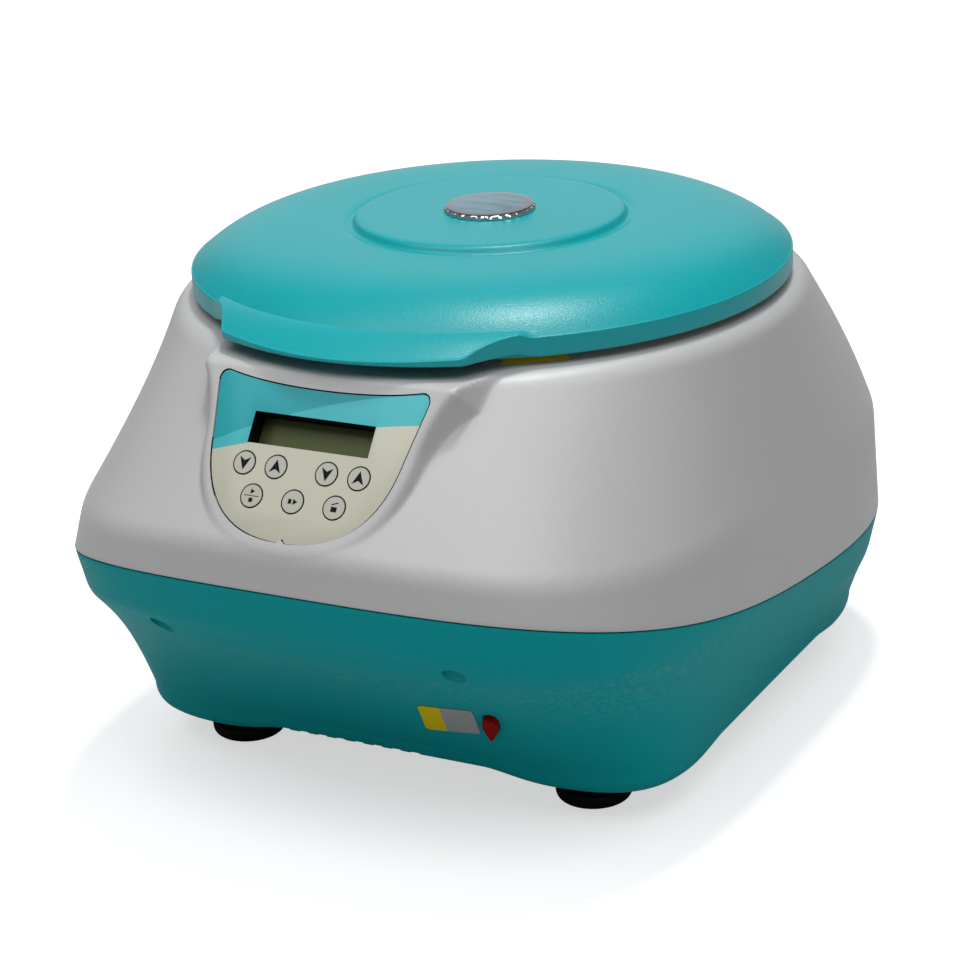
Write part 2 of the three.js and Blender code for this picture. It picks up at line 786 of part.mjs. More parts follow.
function plugFrame() {
  const { band, foot, middle } = baseWall(plug.angle, 0);
  const curve = new THREE.QuadraticBezierCurve(
    new THREE.Vector2(...foot), new THREE.Vector2(...middle), new THREE.Vector2(...band));
  const share = (plug.rise - foot[1]) / (band[1] - foot[1]);
  const spot = curve.getPoint(share);
  const up = curve.getTangent(share);
  const radial = new THREE.Vector3(Math.cos(plug.angle), Math.sin(plug.angle), 0);
  const edgeAt = (angle) => reach(baseOutline, angle);
  const slopeAcross = (edgeAt(plug.angle + plug.step) - edgeAt(plug.angle - plug.step)) / (2 * plug.step);
  const across = new THREE.Vector3(-Math.sin(plug.angle), Math.cos(plug.angle), 0)
    .multiplyScalar(spot.x).addScaledVector(radial, slopeAcross).normalize();
  const upward = radial.clone().multiplyScalar(up.x).add(new THREE.Vector3(0, 0, up.y)).normalize();
  const out = across.clone().cross(upward).normalize();
  const trueUp = out.clone().cross(across).normalize();
  const place = radial.clone().multiplyScalar(spot.x).setZ(spot.y);
  return new THREE.Matrix4().makeBasis(across, trueUp, out).setPosition(place);
}

function plugShape(clearance) {
  return mirroredShape((shape) => {
    shape.moveTo(0, -plug.lower - clearance);
    shape.quadraticCurveTo(plug.half + clearance, -plug.lower * plugBendShare, plug.half + clearance, 0);
    shape.quadraticCurveTo(plug.half + clearance, plug.upper + clearance, 0, plug.upper + clearance);
  });
}

function buildLowerHousing(plugMatrix) {
  const outer = lofted((angle) => lowerProfile(0, 0, angle));
  const inner = lofted((angle) => lowerProfile(wall, over, angle));
  const frameHalf = baseOpening.half + seatWidth;
  const frameReach = baseOpening.reach + seatWidth;
  const frame = boxSolid([-frameHalf, -frameReach, 0], [frameHalf, frameReach, seatTop]).intersect(outer);
  const bosses = screwPlaces.map(([, x, y, boreTop]) => rod(
    screwBoss, 0, boreTop + 2 * bossFloor, x, y).intersect(outer));
  const notches = Array.from({ length: notchCount }, (_, i) => {
    const x = notchStart + i * notchPitch;
    return boxSolid([x, -baseOutline.front - over, 0],
      [x + notchWidth, -baseOutline.front + notchDepth, baseHeight + wall / 2]);
  });
  const plugHole = prism(plugShape(fit), plug.inside + plug.outside + 2 * over,
    plugMatrix.clone().multiply(new THREE.Matrix4().makeTranslation(0, 0, -plug.inside - over)), 6);
  return cut(
    join(cut(outer, inner), frame, ...bosses),
    boxSolid([-baseOpening.half, -baseOpening.reach, 0],
      [baseOpening.half, baseOpening.reach, seatTop + over]),
    ...screwPlaces.map(([, x, y, boreTop]) => rod(screwBore, 0, boreTop, x, y)),
    ...screwPlaces.map(([, x, y, boreTop]) => rod(screwShankHole, 0, boreTop + 3 * bossFloor, x, y)),
    ...notches,
    plugHole,
  );
}

function buildScrew([, x, y, boreTop]) {
  const seat = boreTop - fit;
  return join(
    cut(rod(screwHead, seat - screwHeadHeight, seat, x, y),
      boxSolid([x - screwShank, y - screwShank / 4, seat - screwHeadHeight - over],
        [x + screwShank, y + screwShank / 4, seat - screwHeadHeight / 2])),
    rod(screwShank, seat - screwHeadHeight / 2, seat + screwShankLength, x, y),
  );
}

function buildBasePlate() {
  const bottom = seatTop + fit;
  const top = bottom + basePlate.thick;
  const sheet = boxSolid([-basePlate.half, -basePlate.reach, bottom],
    [basePlate.half, basePlate.reach, top]);
  const vents = [];
  for (const side of [-1, 1]) {
    for (let i = 0; i < baseVent.count; i++) {
      const x = (i - (baseVent.count - 1) / 2) * baseVent.pitch;
      const y = side * (basePlate.reach - baseVent.length);
      vents.push(boxSolid([x - baseVent.half, y - baseVent.length / 4, bottom - over],
        [x + baseVent.half, y + baseVent.length / 4, top + over]));
    }
  }
  const posts = damperPlaces.map(([, x, y]) => rod(postRadius, bottom + basePlate.thick / 2, postTop, x, y));
  return join(cut(sheet, ...vents), ...posts);
}

const damperPlaces = [["damper_rear", 90], ["damper_left", 210], ["damper_right", 330]].map(
  ([name, turn]) => [name, damperCircle * Math.cos(turn * degree), damperCircle * Math.sin(turn * degree)]);

function buildDamper([, x, y]) {
  const bottom = postTop + fit;
  const top = bottom + damperHeight;
  const middle = (bottom + top) / 2;
  const flangeThick = damperHeight / 8;
  const solid = turned([
    [0, bottom], [damperRadius, bottom], [damperRadius, bottom + flangeThick],
    [damperWaist, middle - flangeThick], [damperWaist, middle + flangeThick],
    [damperRadius, top - flangeThick], [damperRadius, top], [0, top],
  ], smallSides);
  return moved(solid, new THREE.Matrix4().makeTranslation(x, y, 0));
}

function buildFoot(x, y) {
  const top = baseHeight - footDrop - fit;
  const solid = turned([
    [0, 0], [footRadius, 0], [footRadius, footHeight - footChamfer], [footRadius - footChamfer, footHeight],
    [footNeck, footHeight], [footNeck, top], [0, top],
  ], roundSides);
  return moved(solid, new THREE.Matrix4().makeTranslation(x, y, 0));
}

// Motor, plate and rotor

const capBottom = capTop - capThick;
const bearingHole = bearingRadius + fit;
const boreRadius = shaftRadius + fit;

function buildMotor() {
  const canTop = capBottom - fit;
  const hubTop = motorBottom + bearingThick + 2 * motorWall / 3 - fit;
  const hubFloor = motorBottom + motorWall / 2 - fit;
  piece("motor_can", turned([
    [shaftHole, motorBottom], [motorRadius, motorBottom], [motorRadius, canTop],
    [motorRadius - motorWall, canTop], [motorRadius - motorWall, motorBottom + motorWall],
    [motorHub, motorBottom + motorWall], [motorHub, hubTop], [bearingHole, hubTop],
    [bearingHole, hubFloor], [shaftHole, hubFloor],
  ], roundSides), finishes.sheet);
  piece("motor_end_cap", turned([
    [bearingHole, capBottom], [motorRadius, capBottom], [motorRadius, capTop], [motorHub, capTop],
    [motorHub, capBossTop], [shaftHole, capBossTop], [shaftHole, capBossTop - capLip],
    [bearingHole, capBossTop - capLip],
  ], roundSides), finishes.alloy);
  piece("bearing_bottom", bearing(hubFloor + fit), finishes.steel);
  piece("bearing_top", bearing(capBossTop - capLip - fit - bearingThick), finishes.steel);
  piece("motor_armature", turned([
    [boreRadius, armatureBottom], [armatureRadius, armatureBottom], [armatureRadius, armatureTop],
    [boreRadius, armatureTop],
  ], roundSides), finishes.copper);
  piece("motor_plate", turned([
    [plateHole, plateBottom], [plateRadius, plateBottom], [plateRadius, plateBottom + plateThick],
    [plateHole, plateBottom + plateThick],
  ], roundSides), finishes.sheet);
}

function bearing(bottom) {
  return turned([
    [boreRadius, bottom], [bearingRadius, bottom], [bearingRadius, bottom + bearingThick],
    [boreRadius, bottom + bearingThick],
  ], roundSides);
}

function buildShaft() {
  const collarTop = rotorBottom - fit;
  return turned([
    [0, shaftBottom], [shaftRadius, shaftBottom], [shaftRadius, collarTop - collarThick],
    [collarRadius, collarTop - collarThick], [collarRadius, collarTop], [shaftRadius, collarTop],
    [shaftRadius, shaftTop], [0, shaftTop],
  ], smallSides);
}

function buildRotor() {
  const body = turned([
    [boreRadius, rotorBottom], [rotor.foot, rotorBottom], [rotorRadius, rotor.edgeBottom],
    [rotorRadius, rotor.edgeTop], [rotor.topOuter, rotorTop], [rotor.topInner, rotorTop],
    [rotor.dishInner, rotorHubTop], [boreRadius, rotorHubTop],
  ], bowlSides);
  const bores = Array.from({ length: tubeCount }, (_, i) => {
    const matrix = new THREE.Matrix4().makeRotationZ((2 * Math.PI * i) / tubeCount)
      .multiply(new THREE.Matrix4().makeTranslation(tubeCircle, 0, rotorTop))
      .multiply(new THREE.Matrix4().makeRotationY(-tubeTilt));
    return moved(rod(tubeRadius, -tubeDepth, 2 * tubeRadius), matrix);
  });
  return cut(body, ...bores);
}

function buildNut() {
  const bottom = rotorHubTop + fit;
  const top = bottom + nut.height;
  return turned([
    [0, bottom + nut.boreDepth], [boreRadius, bottom + nut.boreDepth], [boreRadius, bottom],
    [nut.radius, bottom], [nut.radius, top - nut.chamfer], [nut.radius - nut.chamfer, top], [0, top],
  ], smallSides);
}

function buildBowl() {
  const under = bowlFloor - bowlWall;
  const outerRadius = bowlRadius + bowlWall;
  const flangeTop = deckHeight - wall - fit;
  const flangeBottom = flangeTop - bowlWall;
  return turned([
    [bowlHole, under], [outerRadius - bowlCorner, under], [outerRadius, under + bowlCorner],
    [outerRadius, flangeBottom], [bowlFlange, flangeBottom], [bowlFlange, flangeTop],
    [bowlRadius, flangeTop], [bowlRadius, bowlFloor + bowlCorner],
    [bowlRadius - bowlCorner, bowlFloor], [bowlHole, bowlFloor],
  ], bowlSides);
}

function buildGasket() {
  const outer = openingRadius - fit;
  const bottom = deckHeight - wall;
  const lap = deckHeight + fit;
  const top = deckHeight + gasketRise;
  return turned([
    [outer - gasketLeg, bottom], [outer, bottom], [outer, lap], [openingRadius + gasketLap, lap],
    [outer, top], [outer - gasketLeg, top],
  ], lidSides);
}

function buildShaftSeal() {
  const bottom = bowlFloor + fit;
  return turned([
    [shaftHole, bottom], [sealRadius, bottom], [sealRadius, bottom + sealHeight / 3],
    [bowlHole, bottom + sealHeight], [shaftHole, bottom + sealHeight],
  ], smallSides);
}

// Lid

function domeHeight(radius) {
  const share = Math.max(0, (radius - plateauFoot) / (lidRadius - plateauFoot));
  const crown = plateauHeight - plateauStep - rimTop;
  return rimTop + crown * (1 - share ** domeRadialShare) ** (1 / domeRiseShare);
}

function domeProfile(inset) {
  const rings = inset > 0 ? liningRings : domeRings;
  const points = [];
  for (let i = rings; i >= 0; i--) {
    const share = Math.cos((Math.PI / 2) * (i / rings));
    const radius = lerp(plateauFoot, lidRadius, share);
    points.push([radius - (inset * (radius - plateauFoot)) / (lidRadius - plateauFoot),
      domeHeight(radius) - inset]);
  }
  return points;
}

function lidProfile() {
  const edge = plateauRadius - plateauStep / 2;
  return [
    [windowHole, plateauHeight], [edge, plateauHeight], [plateauRadius, plateauHeight - plateauStep / 6],
    ...domeProfile(0),
    [lidRadius, rimBottom + rimChamfer], [lidRadius - rimChamfer, rimBottom],
    [lidRadius - lidWall, rimBottom],
    ...domeProfile(lidWall).reverse(),
    [edge, plateauHeight - lidWall], [windowHole, plateauHeight - lidWall],
  ];
}

function buildLidShell() {
  const shape = mirroredShape((outline) => {
    outline.moveTo(0, -lip.frontReach);
    outline.quadraticCurveTo(lip.cornerHalf / 2, -lip.frontReach, lip.cornerHalf, -lip.cornerReach);
    outline.quadraticCurveTo(lip.scoopHalf, -lip.scoopReach, lip.rootHalf, -lip.rootReach);
    outline.lineTo(0, -lip.rootReach);
  });
  const blank = prism(shape, lip.top - lip.bottom,
    new THREE.Matrix4().makeTranslation(0, 0, lip.bottom), 6);
  const far = lip.frontReach + over;
  const drop = (far - lidRadius) * lip.slopeShare;
  const slope = turned([
    [0, lip.bottom - over], [far, lip.bottom - over], [far, lip.top - drop], [lidRadius - lidWall, lip.top],
    [0, lip.top],
  ], lidSides);
  const inside = turned([
    [0, rimBottom - over], [lidRadius - lidWall, rimBottom - over],
    ...domeProfile(lidWall).reverse(), [0, plateauHeight - plateauStep - lidWall],
  ], lidSides);
  const shell = turned(lidProfile().reverse(), lidSides);
  return join(shell, cut(blank.intersect(slope), inside));
}

function buildLiner() {
  const top = linerBottom + linerThick;
  return turned([
    [linerHole, linerBottom], [ribInner, linerBottom], [ribInner, deckHeight + gasketRise + fit],
    [ribOuter, deckHeight + gasketRise + fit], [ribOuter, linerBottom], [linerRadius, linerBottom],
    [linerRadius, top], [linerHole, top],
  ], lidSides);
}

function buildWindowRing() {
  const outer = windowHole - fit;
  const seat = plateauHeight + fit;
  const top = seat + windowRingRise;
  return turned([
    [outer - sleeveWall, linerBottom], [outer, linerBottom], [outer, seat], [windowRingOuter, seat],
    [windowRingOuter, seat + windowRingRise / 2], [windowHole, top], [outer - sleeveWall, top],
  ], roundSides);
}

function buildLens() {
  const radius = windowHole - sleeveWall - 2 * fit;
  const bottom = plateauHeight;
  return turned([
    [0, bottom], [radius, bottom], [radius, bottom + lensThick / 2],
    [radius * lensShares.haunch, bottom + lensRise * lensShares.haunchRise],
    [radius * lensShares.crown, bottom + lensRise], [0, bottom + lensRise],
  ], roundSides);
}

function buildHook() {
  const top = linerBottom - fit;
  const blade = boxSolid([-hookHalf, -hookReach - hookThick, hookBottom], [hookHalf, -hookReach, top]);
  const foot = boxSolid([-hookFoot.half, -hookReach - hookThick, top - hookFoot.thick],
    [hookFoot.half, -hookFoot.inner, top]);
  const opening = boxSolid([-hookWindow.half, -hookReach - hookThick - over, hookWindow.bottom],
    [hookWindow.half, -hookReach + over, hookWindow.top]);
  return cut(join(blade, foot), opening);
}

function buildLockHousing() {
  const inner = lock.half - lock.wall;
  const block = boxSolid([-lock.half, -lock.front, lock.bottom], [lock.half, -slotRear - fit, lock.top]);
  const well = boxSolid([-inner, -slotFront, lock.bottom + lock.wall],
    [inner, -slotRear + over, lock.top + over]);
  const track = boxSolid([-pawl.half - fit, -lock.front - over, pawl.bottom - fit],
    [pawl.half + fit, -slotFront + over, pawl.top + fit]);
  return cut(block, well, track);
}

function buildPawl() {
  return boxSolid([-pawl.half, -pawl.tail, pawl.bottom], [pawl.half, -pawl.tip, pawl.top]);
}

function buildSolenoid() {
  const start = lock.half + fit;
  const middle = (pawl.bottom + pawl.top) / 2;
  const low = middle - solenoid.height / 2;
  const reachMiddle = (slotFront + lock.front) / 2;
  const coil = boxSolid([start, -reachMiddle - solenoid.width / 2, low],
    [start + solenoid.length, -reachMiddle + solenoid.width / 2, low + solenoid.height]);
  return coil;
}

// Hinges, one each side

function acrossRod(radius, middle, width) {
  const geometry = new THREE.CylinderGeometry(radius, radius, width, smallSides);
  geometry.rotateZ(Math.PI / 2);
  geometry.translate(middle, hingeReach, hingeHeight);
  return solidOf(geometry);
}

function buildHinge(side, label) {
  const middle = side * hingeSide;
  const halfKnuckle = knuckleWidth / 2;
  const low = middle - halfKnuckle;
  const high = middle + halfKnuckle;
  const bore = acrossRod(pinRadius + fit, middle, 2 * knuckleWidth);
  const strap = boxSolid([low, arm.footReach, arm.bottom], [high, hingeReach, arm.top]);
  const foot = boxSolid([low, arm.footReach, arm.top - lidWall],
    [high, arm.footReach + arm.footLength, linerBottom - fit]);
  const knuckle = acrossRod(knuckleRadius, middle, knuckleWidth);
  piece(`hinge_arm_${label}`, cut(join(strap, foot, knuckle), bore), finishes.steel);
  const cheekInner = halfKnuckle + cheekGap;
  const cheekOuter = cheekInner + cheekWidth;
  const floor = deckHeight + fit;
  const cheeks = [-1, 1].map((hand) => {
    const from = Math.min(hand * cheekInner, hand * cheekOuter);
    const sheet = boxSolid([middle + from, hingeReach - bracket.cheekRise, floor],
      [middle + from + cheekWidth, bracket.rear, hingeHeight]);
    const cap = acrossRod(bracket.cheekRise, middle + from + cheekWidth / 2, cheekWidth);
    return join(sheet, cap);
  });
  const base = boxSolid([middle - cheekOuter, bracket.baseFront, floor],
    [middle + cheekOuter, bracket.rear, floor + bracket.baseThick]);
  piece(`hinge_bracket_${label}`, cut(join(base, ...cheeks), bore), finishes.steel);
  piece(`hinge_pin_${label}`, acrossRod(pinRadius, middle, 2 * cheekOuter + 2 * cheekGap), finishes.chrome);
}

// Control panel

function buildPanel() {
  const keyHoles = keyPlaces.map(([, x, drop]) => panelRod(
    keyHole, x, drop, -pocketDepth - over, over, keySides));
  const sheet = prism(membraneShape(fit), membrane.thick, onPanel(-pocketDepth + fit), 6);
  const displayHole = panelBox(display.half, display.top, display.bottom, -pocketDepth - over, over);
  piece("panel_membrane", cut(sheet, displayHole, ...keyHoles), finishes.membrane);
  const tunnelTop = -wall - fit;
  const tunnelBack = tunnelTop - displayTunnel;
  const outer = panelBox(display.half + displayFrame, display.top - displayFrame,
    display.bottom + displayFrame / 2, tunnelBack, tunnelTop);
  const inner = panelBox(display.half, display.top, display.bottom, tunnelBack - over, tunnelTop + over);
  piece("lcd_bezel", cut(outer, inner), finishes.black);
  const glassFront = tunnelBack - fit;
  piece("lcd_glass", panelBox(display.half + displayFrame, display.top - displayFrame,
    display.bottom + displayFrame / 2, glassFront - glassThick, glassFront), finishes.olive);
  const boardFront = glassFront - glassThick - fit;
  const sheetBoard = panelBox(board.half, board.top, board.bottom, boardFront - boardThick, boardFront);
  const switches = keyPlaces.map(([, x, drop]) => moved(
    boxSolid([x - tact.size / 2, -drop - tact.size / 2, boardFront - boardThick / 2],
      [x + tact.size / 2, -drop + tact.size / 2, boardFront + tact.rise]), panelMatrix));
  piece("control_board", join(sheetBoard, ...switches), finishes.board);
  for (const [name, x, drop] of keyPlaces) {
    piece(name, join(
      panelRod(keyRadius, x, drop, -keySink - keyThick, -keySink, keySides),
      panelRod(keyStem, x, drop, -keySink - keyThick - keyStemLength, -keySink - keyThick / 2, stemSides),
    ), finishes.membrane);
  }
}

// Rear fittings

function buildRear() {
  const face = rearPlate.face;
  const middle = (rearPlate.bottom + rearPlate.top) / 2;
  const block = (at, half, high, from, to) => boxSolid(
    [at - half, from, middle - high / 2], [at + half, to, middle + high / 2]);
  const fuseHole = moved(rod(fuse.body + fit, -over, rearPlate.thick + over), rearward(fuse.at, face));
  piece("rear_plate", cut(
    block(0, rearPlate.half - fit, rearPlate.top - rearPlate.bottom - 2 * fit, face - rearPlate.thick, face),
    block(inlet.at, inlet.socketHalf + inletBody.wall + fit, inlet.socketHigh + 2 * inletBody.wall + 2 * fit,
      face - over, face + over),
    fuseHole,
    block(mainsSwitch.at, mainsSwitch.rockerHalf + mainsSwitch.wall + fit,
      mainsSwitch.rockerHigh + 2 * mainsSwitch.wall + 2 * fit,
      face - over, face + over),
  ), finishes.black);
  const front = face + fit;
  const socket = cut(
    join(
      block(inlet.at, inlet.half, inlet.high, front, front + inlet.flange),
      block(inlet.at, inlet.socketHalf + inletBody.wall, inlet.socketHigh + 2 * inletBody.wall,
        front - inlet.depth - inletBody.wall, front + inlet.flange / 2)),
    block(inlet.at, inlet.socketHalf, inlet.socketHigh, front - inlet.depth, front + over));
  const pins = [-1, 0, 1].map((place) => {
    const x = inlet.at + place * inletBody.pinPitch;
    const z = middle - inletBody.pinHigh / 2 + (place === 0 ? inletBody.earthRise : -inletBody.earthRise / 2);
    const start = front - inlet.depth - inletBody.wall / 2;
    return boxSolid([x - inletBody.pinHalf, start, z],
      [x + inletBody.pinHalf, start + inletBody.pinLength, z + inletBody.pinHigh]);
  });
  piece("power_inlet", join(socket, ...pins), finishes.black);
  const cap = cut(
    rod(fuse.radius, 0, fuse.rise),
    boxSolid([-fuse.slotHalf, -fuse.slotWidth / 2, fuse.rise / 2],
      [fuse.slotHalf, fuse.slotWidth / 2, 2 * fuse.rise]));
  piece("fuse_holder", moved(join(cap, rod(fuse.body, -fuse.depth, fuse.rise / 4)), rearward(fuse.at, front)),
    finishes.black);
  piece("switch_body", cut(
    join(
      block(mainsSwitch.at, mainsSwitch.half, mainsSwitch.high, front, front + mainsSwitch.flange),
      block(mainsSwitch.at, mainsSwitch.rockerHalf + mainsSwitch.wall,
        mainsSwitch.rockerHigh + 2 * mainsSwitch.wall,
        front - mainsSwitch.depth, front + mainsSwitch.flange / 2)),
    block(mainsSwitch.at, mainsSwitch.rockerHalf, mainsSwitch.rockerHigh,
      front - mainsSwitch.depth + mainsSwitch.wall, front + over)), finishes.black);
  piece("switch_rocker", buildRocker(front + mainsSwitch.flange, middle), finishes.red);
}

function rearward(x, y) {
  const middle = (rearPlate.bottom + rearPlate.top) / 2;
  return new THREE.Matrix4().makeRotationX(-Math.PI / 2).setPosition(x, y, middle);
}

function buildRocker(front, middle) {
  const half = mainsSwitch.rockerHalf - fit;
  const high = mainsSwitch.rockerHigh / 2 - rocker.clear;
  const shape = new THREE.Shape();
  shape.moveTo(-rocker.depth, -high * rockerShares.root);
  shape.lineTo(rocker.rise, -high);
  shape.lineTo(rocker.rise * rockerShares.waist, 0);
  shape.lineTo(rocker.rise, high);
  shape.lineTo(-rocker.depth, high * rockerShares.root);
  const matrix = new THREE.Matrix4().makeTranslation(mainsSwitch.at - half, front - rocker.depth / 2, middle)
    .multiply(new THREE.Matrix4().makeRotationX(rockerTilt))
    .multiply(new THREE.Matrix4().makeBasis(
      new THREE.Vector3(0, 1, 0), new THREE.Vector3(0, 0, 1), new THREE.Vector3(1, 0, 0)));
  return prism(shape, 2 * half, matrix, 1);
}

function buildPowerBoard() {
  const sheet = boxSolid([-powerBoard.half, powerBoard.reach, powerBoard.bottom],
    [powerBoard.half, powerBoard.reach + powerBoard.thick, powerBoard.top]);
  const blocks = [-1, 1].map((side) => boxSolid(
    [side * powerBoard.half / 2 - powerBlock.half, powerBoard.reach + powerBoard.thick / 2,
      powerBoard.bottom + powerBlock.rise],
    [side * powerBoard.half / 2 + powerBlock.half, powerBoard.reach + powerBlock.deep,
      powerBoard.bottom + powerBlock.rise + powerBlock.high]));
  return join(sheet, ...blocks);
}

// Assembly

const plugMatrix = plugFrame();

piece("upper_housing", buildUpperHousing(), finishes.pearl);
piece("lower_housing", buildLowerHousing(plugMatrix), finishes.base);
piece("base_plate", buildBasePlate(), finishes.sheet);
for (const [label, y] of [["front", -footReach], ["rear", footReach]]) {
  piece(`foot_${label}_left`, buildFoot(-footSide, y), finishes.rubber);
  piece(`foot_${label}_right`, buildFoot(footSide, y), finishes.rubber);
}
for (const place of screwPlaces) piece(place[0], buildScrew(place), finishes.steel);
for (const place of damperPlaces) piece(place[0], buildDamper(place), finishes.rubber);
buildMotor();
piece("drive_shaft", buildShaft(), finishes.steel);
piece("rotor", buildRotor(), finishes.alloy);
piece("rotor_nut", buildNut(), finishes.black);
piece("chamber_bowl", buildBowl(), finishes.steel);
piece("chamber_gasket", buildGasket(), finishes.rubber);
piece("shaft_seal", buildShaftSeal(), finishes.rubber);
piece("lid_shell", buildLidShell(), finishes.turquoise);
piece("lid_liner", buildLiner(), finishes.liner);
piece("window_ring", buildWindowRing(), finishes.chrome);
piece("window_lens", buildLens(), finishes.clear);
piece("latch_hook", buildHook(), finishes.steel);
piece("lock_housing", buildLockHousing(), finishes.black);
piece("lock_pawl", buildPawl(), finishes.steel);
piece("lock_solenoid", buildSolenoid(), finishes.copper);
buildHinge(-1, "left");
buildHinge(1, "right");
buildPanel();
buildRear();
piece("power_board", buildPowerBoard(), finishes.board);
piece("release_plug", prism(plugShape(0), plug.inside + plug.outside,
  plugMatrix.clone().multiply(new THREE.Matrix4().makeTranslation(0, 0, -plug.inside)), 6), finishes.red);

export default assembly;
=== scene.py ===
"""Dresses the bench centrifuge: smooth housings, domed lid, panel, rotor, fittings and the studio.

Sizes are in millimetres about the rotor axis, Z up from the bench and front at -Y. Meshes are in
metres in the frame's own axes.
"""

import json
import logging
import math
from dataclasses import dataclass, field
from enum import Enum
from typing import Any, Callable, Iterable, Sequence, Union

import bmesh
import bpy
import numpy as np
from mathutils import Matrix, Vector

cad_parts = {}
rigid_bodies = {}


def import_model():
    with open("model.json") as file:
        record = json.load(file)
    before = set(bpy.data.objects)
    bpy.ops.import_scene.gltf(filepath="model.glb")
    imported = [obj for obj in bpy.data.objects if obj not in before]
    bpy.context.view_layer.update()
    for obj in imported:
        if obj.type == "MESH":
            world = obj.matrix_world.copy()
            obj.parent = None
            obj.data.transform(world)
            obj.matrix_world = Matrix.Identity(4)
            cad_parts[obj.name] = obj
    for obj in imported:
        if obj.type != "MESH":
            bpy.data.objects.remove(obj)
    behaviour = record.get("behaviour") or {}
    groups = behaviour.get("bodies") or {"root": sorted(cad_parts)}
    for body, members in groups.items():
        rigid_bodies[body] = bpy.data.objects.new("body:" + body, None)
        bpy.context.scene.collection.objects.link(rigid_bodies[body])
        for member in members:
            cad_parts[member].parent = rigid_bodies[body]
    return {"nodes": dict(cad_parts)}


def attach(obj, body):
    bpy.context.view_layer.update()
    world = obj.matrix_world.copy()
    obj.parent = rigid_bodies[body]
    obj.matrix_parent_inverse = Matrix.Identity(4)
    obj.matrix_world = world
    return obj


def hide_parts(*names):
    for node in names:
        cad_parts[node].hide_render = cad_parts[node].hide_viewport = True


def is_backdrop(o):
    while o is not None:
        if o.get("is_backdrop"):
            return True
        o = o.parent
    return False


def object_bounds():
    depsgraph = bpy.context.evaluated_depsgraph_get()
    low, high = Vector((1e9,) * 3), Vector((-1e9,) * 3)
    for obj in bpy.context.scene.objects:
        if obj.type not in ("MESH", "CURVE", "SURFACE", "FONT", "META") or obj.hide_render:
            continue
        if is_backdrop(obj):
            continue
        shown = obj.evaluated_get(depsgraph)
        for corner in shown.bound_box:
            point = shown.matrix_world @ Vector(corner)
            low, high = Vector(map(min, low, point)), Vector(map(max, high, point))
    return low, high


log = logging.getLogger("centrifuge")

MM = 0.001
AXIS_REACH = 16.0
WELD = 1e-6

Colour = tuple[float, float, float]
Place = tuple[float, float, float]
Points = Union[np.ndarray, Sequence[float]]
Placer = Callable[[np.ndarray], np.ndarray]
Number = Union[float, "Signal"]

ACROSS = (1.0, 0.0, 0.0)
ALONG = (0.0, 1.0, 0.0)
UP = (0.0, 0.0, 1.0)
EVEN = (1.0, 1.0, 1.0)
WHITE = (1.0, 1.0, 1.0)


class Body(Enum):
    """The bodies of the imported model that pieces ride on."""

    HOUSING = "body"
    LID = "lid"
    ROTOR = "rotor_group"
    ROCKER = "switch_rocker"
    PLUG = "release_plug"
    PAWL = "lock_pawl"


class Slot(Enum):
    """The finishes that the record names."""

    PEARL = "pearl"
    TURQUOISE = "turquoise"
    BASE = "base"
    LINER = "liner"
    STEEL = "steel"
    SHEET = "sheet"
    ALLOY = "alloy"
    CHROME = "chrome"
    CLEAR = "clear"
    RUBBER = "rubber"
    BLACK = "black"
    MEMBRANE = "membrane"
    OLIVE = "olive"
    BOARD = "board"
    RED = "red"
    COPPER = "copper"


# Shader maths


class Signal:
    """A number or colour that varies over a surface, with arithmetic that adds Math nodes."""

    def __init__(self, recipe: "Recipe", socket: bpy.types.NodeSocket) -> None:
        """Wraps the output socket of a recipe that carries the value."""
        self.recipe = recipe
        self.socket = socket

    def _math(self, operation: str, first: Number, second: Number = 0.0) -> "Signal":
        """Adds one Math node and returns its value."""
        node = self.recipe.node("ShaderNodeMath", {"operation": operation}, {0: first, 1: second})
        return Signal(self.recipe, node.outputs[0])

    def __add__(self, other: Number) -> "Signal":
        """Adds a number or a signal."""
        return self._math("ADD", self, other)

    def __sub__(self, other: Number) -> "Signal":
        """Subtracts a number or a signal."""
        return self._math("SUBTRACT", self, other)

    def __rsub__(self, other: Number) -> "Signal":
        """Is subtracted from a number."""
        return self._math("SUBTRACT", other, self)

    def __mul__(self, other: Number) -> "Signal":
        """Multiplies by a number or a signal."""
        return self._math("MULTIPLY", self, other)

    __radd__ = __add__
    __rmul__ = __mul__

    def centred(self, spread: float) -> "Signal":
        """A noise between 0 and 1 made to swing about 0 by a spread."""
        return (self - 0.5) * spread

    def step(self, edge: float, width: float) -> "Signal":
        """Rises smoothly from 0 to 1 round an edge, over a width of the value."""
        node = self.recipe.node(
            "ShaderNodeMapRange",
            {"interpolation_type": "SMOOTHSTEP"},
            {"Value": self, "From Min": edge - width / 2, "From Max": edge + width / 2},
        )
        return Signal(self.recipe, node.outputs[0])


